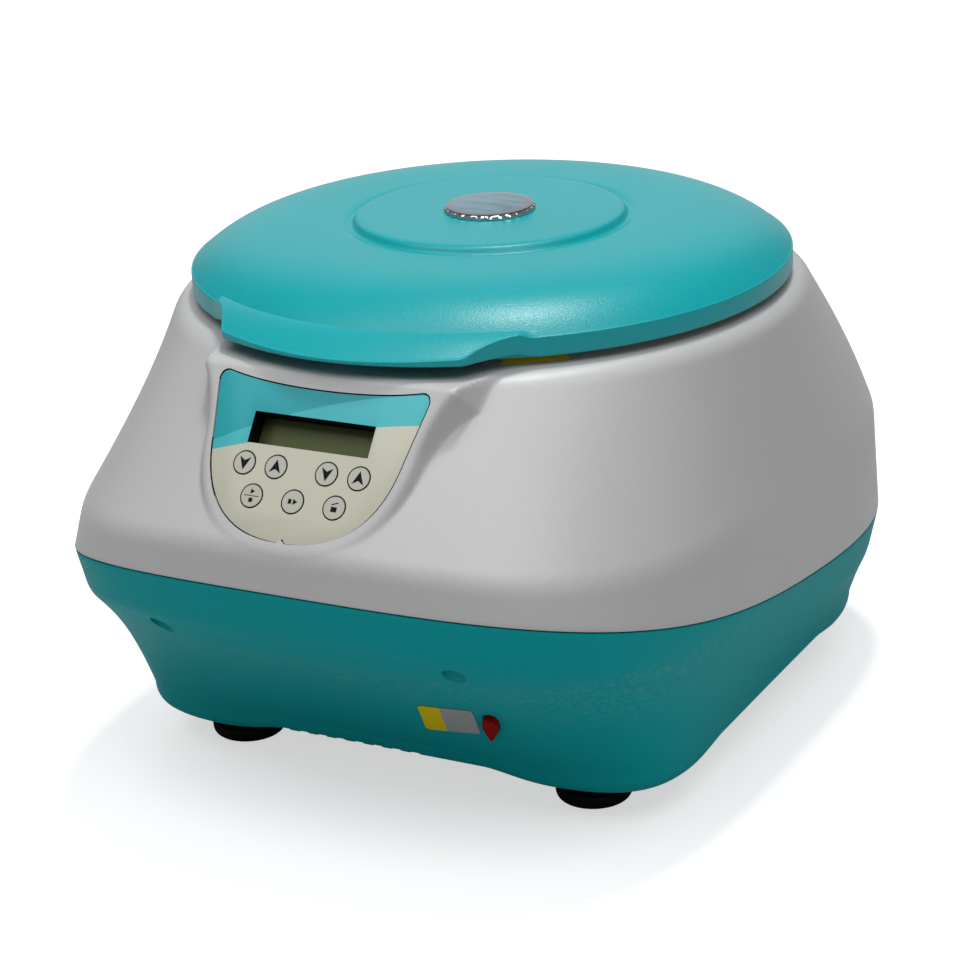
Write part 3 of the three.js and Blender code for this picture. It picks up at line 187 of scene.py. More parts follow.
class Recipe:
    """One material, or the world, while its nodes are put together."""

    def __init__(self, name: str, world: bool = False) -> None:
        """Starts without nodes.

        Args:
            name: The name of the material or world.
            world: Whether it is a world.
        """
        self.owner = (bpy.data.worlds if world else bpy.data.materials).new(name)
        self.owner.use_nodes = True
        self.tree = self.owner.node_tree
        self.tree.nodes.clear()

    def node(self, kind: str, settings: dict[str, Any] | None = None,
             inputs: dict[Any, Any] | None = None) -> bpy.types.Node:
        """Adds a node, sets its settings and then its sockets.

        Args:
            kind: The node's type.
            settings: Values of the node's own properties.
            inputs: Values, signals or sockets by socket name or number.

        Returns:
            The new node.
        """
        node = self.tree.nodes.new(kind)
        for key, value in (settings or {}).items():
            setattr(node, key, value)
        for key, value in (inputs or {}).items():
            self._feed(node.inputs[key], value)
        return node

    def _feed(self, socket: bpy.types.NodeSocket, value: Any) -> None:
        """Links a signal to a socket, or sets the socket's own value."""
        if isinstance(value, Signal):
            self.tree.links.new(value.socket, socket)
        elif isinstance(value, bpy.types.NodeSocket):
            self.tree.links.new(value, socket)
        elif isinstance(value, tuple) and len(value) == 3 and socket.type == "RGBA":
            socket.default_value = (*value, 1.0)
        else:
            socket.default_value = value

    def place(self) -> bpy.types.NodeSocket:
        """The surface point in the object's own coordinates, in metres."""
        return self.node("ShaderNodeTexCoord").outputs["Object"]

    def along(self, axis: Place, origin: Place = (0, 0, 0)) -> Signal:
        """Measures how far the surface point lies along an axis, in millimetres.

        Args:
            axis: A unit vector.
            origin: The point where the measure is zero, in metres.

        Returns:
            The distance.
        """
        offset = self.node("ShaderNodeVectorMath", {"operation": "SUBTRACT"},
                           {0: self.place(), 1: origin})
        dot = self.node("ShaderNodeVectorMath", {"operation": "DOT_PRODUCT"},
                        {0: offset.outputs[0], 1: tuple(value / MM for value in axis)})
        return Signal(self, dot.outputs["Value"])

    def across_map(self) -> Signal:
        """How far across its own UV map the surface point lies."""
        split = self.node("ShaderNodeSeparateXYZ", {}, {0: self.node("ShaderNodeUVMap").outputs[0]})
        return Signal(self, split.outputs[0])

    def grain(self, size: float, stretch: Place = EVEN, detail: float = 1.0) -> Signal:
        """Soft noise between 0 and 1.

        Args:
            size: The size of a speckle in millimetres.
            stretch: How many times finer the noise is along each axis.
            detail: How many finer layers it has.

        Returns:
            The noise value.
        """
        mapping = self.node("ShaderNodeMapping", {"vector_type": "POINT"},
                            {"Vector": self.place(), "Scale": stretch})
        noise = self.node("ShaderNodeTexNoise", {"noise_dimensions": "3D"},
                          {"Vector": mapping.outputs[0], "Scale": 1.0 / (size * MM), "Detail": detail})
        return Signal(self, noise.outputs["Fac"])

    def blend(self, mask: Number, low: Any, high: Any) -> Signal:
        """Mixes two colours or signals: the first where the mask is 0, the second where it is 1."""
        node = self.node("ShaderNodeMix", {"data_type": "RGBA"}, {0: mask, 6: low, 7: high})
        return Signal(self, node.outputs[2])

    def shaded(self, mask: Number, colour: Colour, dark: float, light: float) -> Signal:
        """Swings a colour's brightness between two shares of it."""
        return self.blend(mask, tinted(colour, dark), tinted(colour, light))

    def relief(self, height: Signal, depth: float) -> Signal:
        """Turns a height between 0 and 1 into a bumped normal, with its full depth in millimetres."""
        bump = self.node("ShaderNodeBump", {}, {"Height": height, "Distance": depth * MM, "Strength": 1.0})
        return Signal(self, bump.outputs[0])

    def close(self, **sockets: Any) -> bpy.types.Material:
        """Ends the recipe with a Principled shader.

        Args:
            **sockets: The shader's sockets, with underscores for spaces.

        Returns:
            The finished material.
        """
        named = {key.replace("_", " "): value for key, value in sockets.items()}
        shader = self.node("ShaderNodeBsdfPrincipled", {}, named)
        self.node("ShaderNodeOutputMaterial", {}, {"Surface": shader.outputs[0]})
        return self.owner


def ink(red: int, green: int, blue: int) -> Colour:
    """Turns a colour as it looks, 0 to 255 a channel, into the values that light works in.

    Args:
        red: The red channel.
        green: The green channel.
        blue: The blue channel.

    Returns:
        The linear colour.
    """
    def linear(value: int) -> float:
        """One channel made linear."""
        share = value / 255
        return share / 12.92 if share <= 0.04045 else ((share + 0.055) / 1.055) ** 2.4
    return linear(red), linear(green), linear(blue)


def tinted(colour: Colour, share: float) -> Colour:
    """Scales a colour's brightness."""
    return tuple(min(1.0, channel * share) for channel in colour)


# Finishes


@dataclass(frozen=True)
class MouldedPlastic:
    """Textured moulding: a fine grain in colour, gloss and relief under a thin sheen."""

    name: str
    colour: Colour
    roughness: float = 0.42
    speckle: float = 0.08
    speckle_size: float = 0.9
    coat: float = 0.0
    coat_roughness: float = 0.3
    relief: float = 0.05
    sheen: float = 0.3
    speckle_weight: float = 1.6
    cloud_size: float = 55.0
    cloud_weight: float = 0.5
    gloss_spread: float = 0.25

    def material(self) -> bpy.types.Material:
        """Makes the material."""
        recipe = Recipe(self.name)
        fine = recipe.grain(self.speckle_size, detail=2.0)
        cloud = recipe.grain(self.cloud_size)
        shade = fine.centred(self.speckle_weight) + cloud.centred(self.cloud_weight) + 0.5
        colour = recipe.shaded(shade, self.colour, 1 - self.speckle, 1 + self.speckle)
        return recipe.close(
            Base_Color=colour, Roughness=fine.centred(self.gloss_spread) + self.roughness,
            Normal=recipe.relief(fine, self.relief), Coat_Weight=self.coat,
            Coat_Roughness=self.coat_roughness, Specular_IOR_Level=self.sheen)


@dataclass(frozen=True)
class DustAndReflectionMoulding:
    """Textured moulding with pale speckles below its upper edge: dust together with a painted reflection of
    the floor.
    """

    name: str
    colour: Colour
    dust: Colour
    dust_and_reflection_top: float = 96.0
    dust_and_reflection_fall: float = 46.0
    dust_size: float = 2.4
    dust_edge: float = 0.56
    dust_blur: float = 0.3
    dust_and_reflection_weight: float = 0.4
    speckle: float = 0.08
    speckle_size: float = 1.2
    roughness: float = 0.5
    relief: float = 0.04
    sheen: float = 0.08

    def material(self) -> bpy.types.Material:
        """Makes the material."""
        recipe = Recipe(self.name)
        fine = recipe.grain(self.speckle_size, detail=2.0)
        height = recipe.along(UP)
        # Dust and painted reflection: a band below the wall's upper edge is blended towards the pale colour
        # in speckles.
        falling = height.step(self.dust_and_reflection_top - self.dust_and_reflection_fall / 2, self.dust_and_reflection_fall)
        below = 1.0 - height.step(self.dust_and_reflection_top, self.dust_and_reflection_fall / 4)
        motes = recipe.grain(self.dust_size, detail=4.0).step(self.dust_edge, self.dust_blur)
        ground = recipe.shaded(fine, self.colour, 1 - self.speckle, 1 + self.speckle)
        colour = recipe.blend(falling * below * motes * self.dust_and_reflection_weight, ground, self.dust)
        return recipe.close(
            Base_Color=colour, Roughness=fine.centred(0.2) + motes * 0.1 + self.roughness,
            Normal=recipe.relief(fine, self.relief), Specular_IOR_Level=self.sheen)


@dataclass(frozen=True)
class PearlPaint:
    """Pale pearl lacquer: flakes that catch the light one by one, under a satin coat."""

    name: str
    colour: Colour
    flake: Colour
    roughness: float = 0.4
    flake_size: float = 0.5
    flake_edge: float = 0.68
    flake_blur: float = 0.16
    flake_weight: float = 0.3
    flake_metal: float = 0.25
    cloud: float = 0.03
    cloud_size: float = 70.0
    relief: float = 0.04
    coat: float = 0.05
    sheen: float = 0.28

    def material(self) -> bpy.types.Material:
        """Makes the material."""
        recipe = Recipe(self.name)
        flakes = recipe.grain(self.flake_size)
        sparkle = flakes.step(self.flake_edge, self.flake_blur)
        ground = recipe.shaded(recipe.grain(self.cloud_size), self.colour, 1 - self.cloud, 1 + self.cloud)
        return recipe.close(
            Base_Color=recipe.blend(sparkle * self.flake_weight, ground, self.flake),
            Metallic=sparkle * self.flake_metal + 0.05, Roughness=flakes.centred(0.3) + self.roughness,
            Normal=recipe.relief(flakes, self.relief), Coat_Weight=self.coat, Coat_Roughness=0.3,
            Specular_IOR_Level=self.sheen)


@dataclass(frozen=True)
class Metal:
    """Bare metal with fine tool marks along one axis and a few dull patches."""

    name: str
    colour: Colour
    roughness: float = 0.3
    marks: Place = EVEN
    mark_size: float = 1.2
    relief: float = 0.01
    patch_size: float = 25.0

    def material(self) -> bpy.types.Material:
        """Makes the material."""
        recipe = Recipe(self.name)
        lines = recipe.grain(self.mark_size, self.marks, 3.0)
        patches = recipe.grain(self.patch_size, detail=2.0)
        colour = recipe.shaded(lines, self.colour, 0.9, 1.06)
        rough = lines.centred(0.16) + patches.centred(0.12) + self.roughness
        return recipe.close(Base_Color=colour, Metallic=1.0, Roughness=rough,
                            Normal=recipe.relief(lines, self.relief))


@dataclass(frozen=True)
class Rubber:
    """Matt black rubber with a dusty bloom."""

    name: str
    colour: Colour
    bloom: float = 2.4
    bloom_size: float = 9.0
    pore_size: float = 0.7
    roughness: float = 0.62

    def material(self) -> bpy.types.Material:
        """Makes the material."""
        recipe = Recipe(self.name)
        dust = recipe.grain(self.bloom_size, detail=4.0)
        pores = recipe.grain(self.pore_size)
        colour = recipe.shaded(dust.step(0.62, 0.3) * 0.5, self.colour, 1.0, self.bloom)
        return recipe.close(Base_Color=colour, Roughness=dust * 0.2 + self.roughness,
                            Normal=recipe.relief(pores, 0.03), Specular_IOR_Level=0.2)


@dataclass(frozen=True)
class ClearMoulding:
    """Milky clear plastic with light handling marks and a darker, browner rim."""

    name: str
    colour: Colour
    edge: Colour
    middle: Place
    reach: float = 18.5
    mark_size: float = 3.0
    band_size: float = 9.0
    band_stretch: Place = (0.25, 1.0, 1.0)
    clearness: float = 0.15

    def material(self) -> bpy.types.Material:
        """Makes the material."""
        recipe = Recipe(self.name)
        marks = recipe.grain(self.mark_size, detail=3.0)
        bands = recipe.grain(self.band_size, self.band_stretch, 2.0)
        across = recipe.along(ACROSS, self.middle)
        along = recipe.along(ALONG, self.middle)
        rim = (across * across + along * along).step(self.reach ** 2, self.reach ** 2 / 2)
        milky = recipe.shaded(bands.step(0.5, 0.35), self.colour, 0.8, 1.25)
        colour = recipe.blend(rim * 0.75, milky, self.edge)
        return recipe.close(Base_Color=colour, Roughness=marks.step(0.6, 0.4) * 0.12 + 0.08,
                            Transmission_Weight=self.clearness, IOR=1.49, Specular_IOR_Level=0.35)


@dataclass(frozen=True)
class DisplayGlass:
    """The unlit display: olive under glass, with painted shade that darkens it towards its left and top
    edges.
    """

    name: str
    colour: Colour
    origin: Place
    downward: Place
    half: float
    middle: float
    side_shade_width: float = 10.0
    top_shade_width: float = 9.0
    top_shade_lift: float = 4.0

    def material(self) -> bpy.types.Material:
        """Makes the material."""
        recipe = Recipe(self.name)
        across = recipe.along(ACROSS, self.origin)
        drop = recipe.along(self.downward, self.origin)
        # Painted shade: the glass darkens towards its left edge and its top, where the walls round it would
        # shade it.
        left = 1.0 - across.step(-self.half + self.side_shade_width / 2, self.side_shade_width)
        upper = 1.0 - drop.step(self.middle - self.top_shade_lift, self.top_shade_width)
        rows = recipe.grain(0.6, (1.0, 4.0, 4.0))
        ground = recipe.shaded(rows, self.colour, 0.95, 1.06)
        shade = recipe.blend(left * 0.6 + upper * 0.35, ground, tinted(self.colour, 0.35))
        return recipe.close(Base_Color=shade, Roughness=rows * 0.06 + 0.14, Specular_IOR_Level=0.4)


@dataclass(frozen=True)
class PrintedOverlay:
    """The panel overlay: beige below a curved line, turquoise above it with a paler sweep."""

    name: str
    plain: Colour
    deep: Colour
    pale: Colour
    origin: Place
    downward: Place
    plain_line: Place = (26.07, -0.24, 0.00092)
    sweep_line: Place = (13.6, -0.335, 0.00205)

    def material(self) -> bpy.types.Material:
        """Makes the material."""
        recipe = Recipe(self.name)
        across = recipe.along(ACROSS, self.origin)
        drop = recipe.along(self.downward, self.origin)
        weave = recipe.grain(0.7)
        below_line = self._below(drop, across, self.plain_line)
        below_sweep = self._below(drop, across, self.sweep_line)
        turquoise = recipe.blend(below_sweep, self.deep, self.pale)
        print_colour = recipe.blend(below_line, turquoise, self.plain)
        colour = recipe.blend(weave * 0.12, print_colour, tinted(self.plain, 0.75))
        return recipe.close(Base_Color=colour, Roughness=weave * 0.1 + 0.36,
                            Normal=recipe.relief(weave, 0.012), Specular_IOR_Level=0.25)

    def _below(self, drop: Signal, across: Signal, line: Place) -> Signal:
        """1 below a parabola drawn across the overlay, and 0 above it."""
        start, slope, curve = line
        return (drop - (across * across * curve + across * slope + start)).step(0.0, 0.25)


@dataclass(frozen=True)
class Ink:
    """Dark printing ink, a little uneven."""

    name: str
    colour: Colour

    def material(self) -> bpy.types.Material:
        """Makes the material."""
        recipe = Recipe(self.name)
        grain = recipe.grain(0.5)
        return recipe.close(Base_Color=recipe.shaded(grain, self.colour, 1.0, 1.5),
                            Roughness=grain * 0.1 + 0.42, Specular_IOR_Level=0.15)


@dataclass(frozen=True)
class TwoToneLabel:
    """A bare plate in two colours that meet part of the way across it."""

    name: str
    left: Colour
    right: Colour
    share: float

    def material(self) -> bpy.types.Material:
        """Makes the material."""
        recipe = Recipe(self.name)
        side = recipe.across_map().step(self.share, 0.01)
        wear = recipe.grain(2.5, detail=3.0)
        colour = recipe.blend(side, self.left, self.right)
        worn = recipe.blend(wear.step(0.75, 0.2) * 0.2, colour, tinted(self.right, 0.7))
        return recipe.close(Base_Color=worn, Roughness=wear * 0.15 + 0.4, Specular_IOR_Level=0.06)


# Modelling


def rest() -> None:
    """Leaves edit mode and deselects everything."""
    if bpy.context.mode != "OBJECT":
        bpy.ops.object.mode_set(mode="OBJECT")
    bpy.ops.object.select_all(action="DESELECT")


def pick(*pieces: bpy.types.Object) -> None:
    """Selects pieces alone, the first of them active."""
    rest()
    for piece in pieces:
        piece.select_set(True)
    bpy.context.view_layer.objects.active = pieces[0]


def framed(points: Points) -> np.ndarray:
    """Moves points from the rotor axis, in millimetres, to the frame, in metres."""
    return (np.asarray(points, dtype=float) + (0.0, AXIS_REACH, 0.0)) * MM


def loft(name: str, rings: np.ndarray, closed: bool = False) -> bpy.types.Object:
    """Extrudes a circle from ring to ring and closes what is open.

    Args:
        name: The piece's name.
        rings: Points by level, column and axis, in metres; a ring may shrink to a point.
        closed: Whether the last ring joins the first again.

    Returns:
        The new piece, with its faces pointing out.
    """
    levels = list(rings) + ([rings[0]] if closed else [])
    rest()
    bpy.ops.mesh.primitive_circle_add(vertices=rings.shape[1], radius=1.0, fill_type="NOTHING")
    piece = bpy.context.active_object
    piece.name = name
    bpy.ops.object.mode_set(mode="EDIT")
    mesh = bmesh.from_edit_mesh(piece.data)
    column = mesh.verts.layers.int.new("column")
    for index, vert in enumerate(mesh.verts):
        vert[column] = index
        vert.co = levels[0][index]
    for ring in levels[1:]:
        bpy.ops.mesh.extrude_region()
        mesh = bmesh.from_edit_mesh(piece.data)
        column = mesh.verts.layers.int["column"]
        for vert in mesh.verts:
            if vert.select:
                vert.co = ring[vert[column]]
    bmesh.update_edit_mesh(piece.data)
    bpy.ops.mesh.select_all(action="SELECT")
    bpy.ops.mesh.remove_doubles(threshold=WELD)
    bpy.ops.mesh.fill_holes(sides=0)
    bpy.ops.mesh.select_all(action="SELECT")
    bpy.ops.mesh.normals_make_consistent(inside=False)
    rest()
    return piece


def carve(body: bpy.types.Object, tools: Sequence[bpy.types.Object]) -> None:
    """Cuts a body with tools that don't meet each other.

    Args:
        body: The piece that stays.
        tools: The pieces that are cut out of it and used up.
    """
    pick(*tools)
    if len(tools) > 1:
        bpy.ops.object.join()
    tool = bpy.context.active_object
    pick(body)
    modifier = body.modifiers.new("carve", "BOOLEAN")
    modifier.operation = "DIFFERENCE"
    modifier.solver = "EXACT"
    modifier.object = tool
    bpy.ops.object.modifier_apply(modifier=modifier.name)
    bpy.data.objects.remove(tool, do_unlink=True)


def rounded(piece: bpy.types.Object, width: float, segments: int, angle: float = 35.0) -> None:
    """Rounds a piece's sharp edges with a bevel that is applied.

    Args:
        piece: The piece.
        width: The width of the bevel in millimetres.
        segments: Its steps.
        angle: The least angle, in degrees, of an edge that is rounded.
    """
    pick(piece)
    modifier = piece.modifiers.new("edges", "BEVEL")
    modifier.width = width * MM
    modifier.segments = segments
    modifier.limit_method = "ANGLE"
    modifier.angle_limit = math.radians(angle)
    bpy.ops.object.modifier_apply(modifier=modifier.name)


def smoothed(piece: bpy.types.Object, angle: float = 30.0) -> bpy.types.Object:
    """Shades a piece smooth up to an angle, in degrees, and returns it."""
    pick(piece)
    bpy.ops.object.shade_smooth_by_angle(angle=math.radians(angle))
    return piece


def copied(piece: bpy.types.Object, name: str, offset: Sequence[float]) -> bpy.types.Object:
    """Copies a piece with its own mesh, moved by an offset in millimetres.

    Args:
        piece: The piece to copy.
        name: The copy's name.
        offset: How far it is moved.

    Returns:
        The copy, whose object stays at the origin.
    """
    pick(piece)
    bpy.ops.object.duplicate()
    twin = bpy.context.active_object
    twin.name = name
    bpy.ops.object.mode_set(mode="EDIT")
    bpy.ops.mesh.select_all(action="SELECT")
    bpy.ops.transform.translate(value=tuple(value * MM for value in offset))
    rest()
    return twin


def fit_out(piece: bpy.types.Object, body: Union[Body, str], slot: Slot, finish: Any,
            *stands_for: str) -> bpy.types.Object:
    """Gives a piece its finish, its body and the nodes it stands for.

    Args:
        piece: The piece.
        body: The body that it rides on.
        slot: The record's finish that it takes; not used.
        finish: The finish of the scene.
        *stands_for: The nodes that it replaces.

    Returns:
        The same piece.
    """
    piece.data.materials.clear()
    piece.data.materials.append(finish.material())
    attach(piece, body.value if isinstance(body, Body) else body)
    if stands_for:
        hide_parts(*stands_for)
    log.info("%s: %d faces", piece.name, len(piece.data.polygons))
    return piece


def accent(piece: bpy.types.Object, finish: Any,
           chosen: Callable[[np.ndarray, np.ndarray], np.ndarray]) -> None:
    """Gives some faces of a piece a second finish.

    Args:
        piece: The piece, already fitted out.
        finish: The second finish.
        chosen: Picks the faces by their middles, in the axis frame, and their normals.
    """
    mesh = piece.data
    mesh.materials.append(finish.material())
    count = len(mesh.polygons)
    middles, normals = np.empty(count * 3), np.empty(count * 3)
    mesh.polygons.foreach_get("center", middles)
    mesh.polygons.foreach_get("normal", normals)
    middles = middles.reshape(-1, 3) / MM - (0.0, AXIS_REACH, 0.0)
    mask = chosen(middles, normals.reshape(-1, 3))
    mesh.polygons.foreach_set("material_index", mask.astype(int))
    mesh.update()


# Curves in a plane


def shares(start: Points, steps: int) -> np.ndarray:
    """Even shares from 0, without 1, shaped to multiply the start of a curve."""
    return (np.arange(steps) / steps).reshape((-1,) + (1,) * np.ndim(start))


def straight(start: Points, end: Points, steps: int) -> np.ndarray:
    """Points in steps from one end, or one for each column, towards the other, without the last."""
    share = shares(start, steps)
    return np.asarray(start) * (1 - share) + np.asarray(end) * share


def parabola(start: Points, middle: Points, end: Points, share: np.ndarray) -> np.ndarray:
    """The points of a quadratic curve at some shares of it."""
    return (np.asarray(start) * (1 - share) ** 2 + np.asarray(middle) * 2 * share * (1 - share)
            + np.asarray(end) * share ** 2)


def bend(start: Points, middle: Points, end: Points, steps: int) -> np.ndarray:
    """Points in steps along a quadratic curve that its middle point pulls, without the last."""
    return parabola(start, middle, end, shares(start, steps))


def swing(start: Sequence[float], first: Sequence[float], second: Sequence[float],
          end: Sequence[float], steps: int) -> np.ndarray:
    """Points along a cubic curve, without the last one.

    Args:
        start: Where the curve starts.
        first: Its first handle.
        second: Its second handle.
        end: Where it ends.
        steps: How many points.

    Returns:
        The points, step by step.
    """
    share = shares(start, steps)
    return (np.outer((1 - share) ** 3, start) + np.outer(3 * share * (1 - share) ** 2, first)
            + np.outer(3 * share ** 2 * (1 - share), second) + np.outer(share ** 3, end))


def towards(start: np.ndarray, goal: Points, distance: float) -> np.ndarray:
    """The point a distance from the start towards the goal."""
    way = np.asarray(goal, dtype=float) - start
    return start + way * (distance / np.linalg.norm(way, axis=-1, keepdims=True))


def smooth_step(value: np.ndarray, low: float, high: float) -> np.ndarray:
    """0 below the low value, 1 above the high one, smooth between them."""
    share = np.clip((value - low) / (high - low), 0, 1)
    return share * share * (3 - 2 * share)


def smooth_max(first: np.ndarray, second: np.ndarray, blend: float) -> np.ndarray:
    """The larger of two heights, with a fillet where they meet."""
    share = np.maximum(blend - np.abs(first - second), 0) / blend
    return np.maximum(first, second) + share * share * blend / 4


def round_fall(short: np.ndarray, radius: float) -> np.ndarray:
    """How far a round edge has fallen at a distance short of its full height."""
    return radius - np.sqrt(radius ** 2 - short ** 2)


def circle(sides: int) -> np.ndarray:
    """The angles of a full turn in even steps."""
    return np.linspace(0, 2 * math.pi, sides, endpoint=False)


def pair(radius: Union[float, np.ndarray], height: Union[float, np.ndarray]) -> np.ndarray:
    """Joins radii and heights into points; one number serves for every point."""
    return np.stack(np.broadcast_arrays(radius, height), axis=-1)


def around(section: np.ndarray, angle: np.ndarray, centre: Sequence[float] = (0.0, 0.0)) -> np.ndarray:
    """Turns points of radius and height into points about an upright axis.

    Args:
        section: The points by level and column, or by level alone.
        angle: The angle of each column.
        centre: The axis's place from the rotor axis.

    Returns:
        The points by level, column and axis.
    """
    radius, height = section[..., 0], section[..., 1]
    across, along = centre[0] + radius * np.cos(angle), centre[1] + radius * np.sin(angle)
    return np.stack([across, along, np.broadcast_to(height, along.shape)], axis=-1)


def unmoved(points: np.ndarray) -> np.ndarray:
    """Leaves points where they are, in the axis frame."""
    return points


def turned(name: str, profile: Iterable[Sequence[float]], sides: int = 96, closed: bool = False,
           centre: Sequence[float] = (0.0, 0.0), place: Placer = unmoved,
           wave: Union[float, np.ndarray] = 0.0, wave_from: float = 0.0) -> bpy.types.Object:
    """A piece of revolution.

    Args:
        name: The piece's name.
        profile: Points of radius and height in millimetres.
        sides: How many columns it has.
        closed: Whether the profile closes on itself.
        centre: The place of its axis.
        place: Turns its points into the axis frame.
        wave: How much smaller its radius is at each column.
        wave_from: The radius beyond which the wave holds.

    Returns:
        The new piece.
    """
    points = np.array(list(profile), dtype=float)
    radius, height = points[:, :1], points[:, 1:]
    rings = around(pair(radius - wave * (radius > wave_from), height), circle(sides), centre)
    return loft(name, framed(place(rings)), closed)


def softened(points: Sequence[Sequence[float]], radius: float, steps: int) -> list[np.ndarray]:
    """Rounds every corner of a closed profile.

    Args:
        points: The profile.
        radius: How far from a corner its rounding starts.
        steps: The steps of each rounding.

    Returns:
        The rounded profile.
    """
    corners = np.array(points, dtype=float)
    result: list[np.ndarray] = []
    for before, corner, after in zip(np.roll(corners, 1, axis=0), corners, np.roll(corners, -1, axis=0)):
        start, end = towards(corner, before, radius), towards(corner, after, radius)
        result += [*bend(start, corner, end, steps), end]
    return result


def prism(name: str, outline: np.ndarray, low: float, high: float,
          place: Placer = unmoved) -> bpy.types.Object:
    """A flat outline extruded between two depths, in the axis frame or where it is placed."""
    rings = [place(np.column_stack([outline, np.full(len(outline), depth)])) for depth in (low, high)]
    return loft(name, framed(np.array(rings)))


def rectangle(left: float, right: float, low: float, high: float) -> np.ndarray:
    """The corners of a rectangle."""
    return np.array([[left, low], [right, low], [right, high], [left, high]])


def block(name: str, low: Sequence[float], high: Sequence[float]) -> bpy.types.Object:
    """A box between two corners of the axis frame, used as a tool."""
    return prism(name, rectangle(low[0], high[0], low[1], high[1]), low[2], high[2])


def mirrored(half: np.ndarray) -> np.ndarray:
    """Completes an outline from its right half, which starts and ends on the middle line."""
    left = half[::-1][1:-1] * (-1, 1)
    return np.concatenate([half, left])


# Forms of the body


@dataclass(frozen=True)
class Outline:
    """A superellipse seen from above, with its own front and rear."""

    half: float
    front: float
    rear: float
    front_fullness: float
    rear_fullness: float

    def reach(self, angle: np.ndarray) -> np.ndarray:
        """How far the outline lies from the axis at each angle."""
        front = np.sin(angle) < 0
        fullness = np.where(front, self.front_fullness, self.rear_fullness)
        along = np.abs(np.sin(angle) / np.where(front, self.front, self.rear))
        across = np.abs(np.cos(angle) / self.half)
        return (across ** fullness + along ** fullness) ** (-1 / fullness)


@dataclass(frozen=True)
class BodyForm:
    """Levels and outlines that both housings share."""

    deck_height: float = 223.5
    shoulder_radius: float = 157.0
    shoulder_round: float = 9.0
    wall: float = 3.0
    split_gap: float = 0.6
    opening_radius: float = 131.0
    split: Outline = Outline(170.5, 222.0, 190.0, 3.4, 3.6)
    crease: Outline = Outline(168.0, 219.5, 187.5, 3.2, 3.6)
    base: Outline = Outline(150.5, 142.0, 144.0, 6.8, 7.5)
    split_middle: float = 86.5
    split_slope_share: float = -0.125
    split_sag: float = 21.7
    crease_middle: float = 137.5
    crease_slope_share: float = -0.03
    crease_lift: float = 11.0
    crease_lift_start: float = 120.0

    def split_height(self, y: np.ndarray) -> np.ndarray:
        """The height of the split line."""
        bow = (y / self.split.front) ** 2
        return self.split_middle + self.split_slope_share * y + self.split_sag * bow

    def crease_height(self, y: np.ndarray) -> np.ndarray:
        """The height of the crease above the split line."""
        past = np.maximum(0, -y - self.crease_lift_start) / (self.split.front - self.crease_lift_start)
        return self.crease_middle + self.crease_slope_share * y + self.crease_lift * past ** 3


@dataclass(frozen=True)
class PanelPlane:
    """The plane of the control panel on the front slope."""

    lean: float = math.radians(37.4)
    top_reach: float = 166.0
    top_height: float = 221.1

    @property
    def upward(self) -> Place:
        """The direction up the slope."""
        return 0.0, math.sin(self.lean), math.cos(self.lean)

    @property
    def downward(self) -> Place:
        """The direction down the slope."""
        return 0.0, -math.sin(self.lean), -math.cos(self.lean)

    @property
    def outward(self) -> Place:
        """The direction out of the panel."""
        return 0.0, -math.cos(self.lean), math.sin(self.lean)

    @property
    def origin(self) -> Place:
        """The middle of the panel's top edge in the frame, in metres."""
        return tuple(framed((0.0, -self.top_reach, self.top_height)))

    def place(self, points: np.ndarray) -> np.ndarray:
        """Puts points of (across, up, out) into the axis frame."""
        across, up, out = points[..., 0], points[..., 1], points[..., 2]
        return np.stack([
            across, -self.top_reach + up * self.upward[1] + out * self.outward[1],
            self.top_height + up * self.upward[2] + out * self.outward[2]], axis=-1)

    def measure(self, points: np.ndarray) -> np.ndarray:
        """Turns points of the axis frame into (across, up, out)."""
        offset = points - (0.0, -self.top_reach, self.top_height)
        return np.stack([points[..., 0], offset @ self.upward, offset @ self.outward], axis=-1)


def distance_inside(points: np.ndarray, outline: np.ndarray) -> np.ndarray:
    """How far points of a plane lie inside an outline, negative outside it.

    Args:
        points: Points of the plane.
        outline: The closed outline.

    Returns:
        The distance of each point.
    """
    starts, ends = outline, np.roll(outline, -1, axis=0)
    nearest = np.full(len(points), np.inf)
    inside = np.zeros(len(points), dtype=bool)
    for start, end in zip(starts, ends):
        edge = end - start
        offset = points - start
        share = np.clip(offset @ edge / (edge @ edge), 0, 1)
        nearest = np.minimum(nearest, np.linalg.norm(offset - share[:, None] * edge, axis=1))
        if start[1] == end[1]:
            continue
        crosses = (start[1] > points[:, 1]) != (end[1] > points[:, 1])
        inside ^= crosses & (points[:, 0] < edge[0] * (points[:, 1] - start[1]) / edge[1] + start[0])
    return np.where(inside, nearest, -nearest)


def spread_columns(fine: Sequence[tuple[float, float, float]], coarse: float) -> np.ndarray:
    """Angles round the axis, closer together in some sectors.

    Args:
        fine: Sectors as (start, end, step) in degrees, in rising order within -180 to 180.
        coarse: The step elsewhere.

    Returns:
        The angles in radians.
    """
    pieces = []
    at = -180.0
    for start, end, step in [*fine, (180.0, 180.0, 1.0)]:
        pieces.append(np.linspace(at, start, max(1, round((start - at) / coarse)), endpoint=False))
        if end > start:
            pieces.append(np.linspace(start, end, max(1, round((end - start) / step)), endpoint=False))
        at = end
    return np.radians(np.concatenate(pieces))


# Upper housing


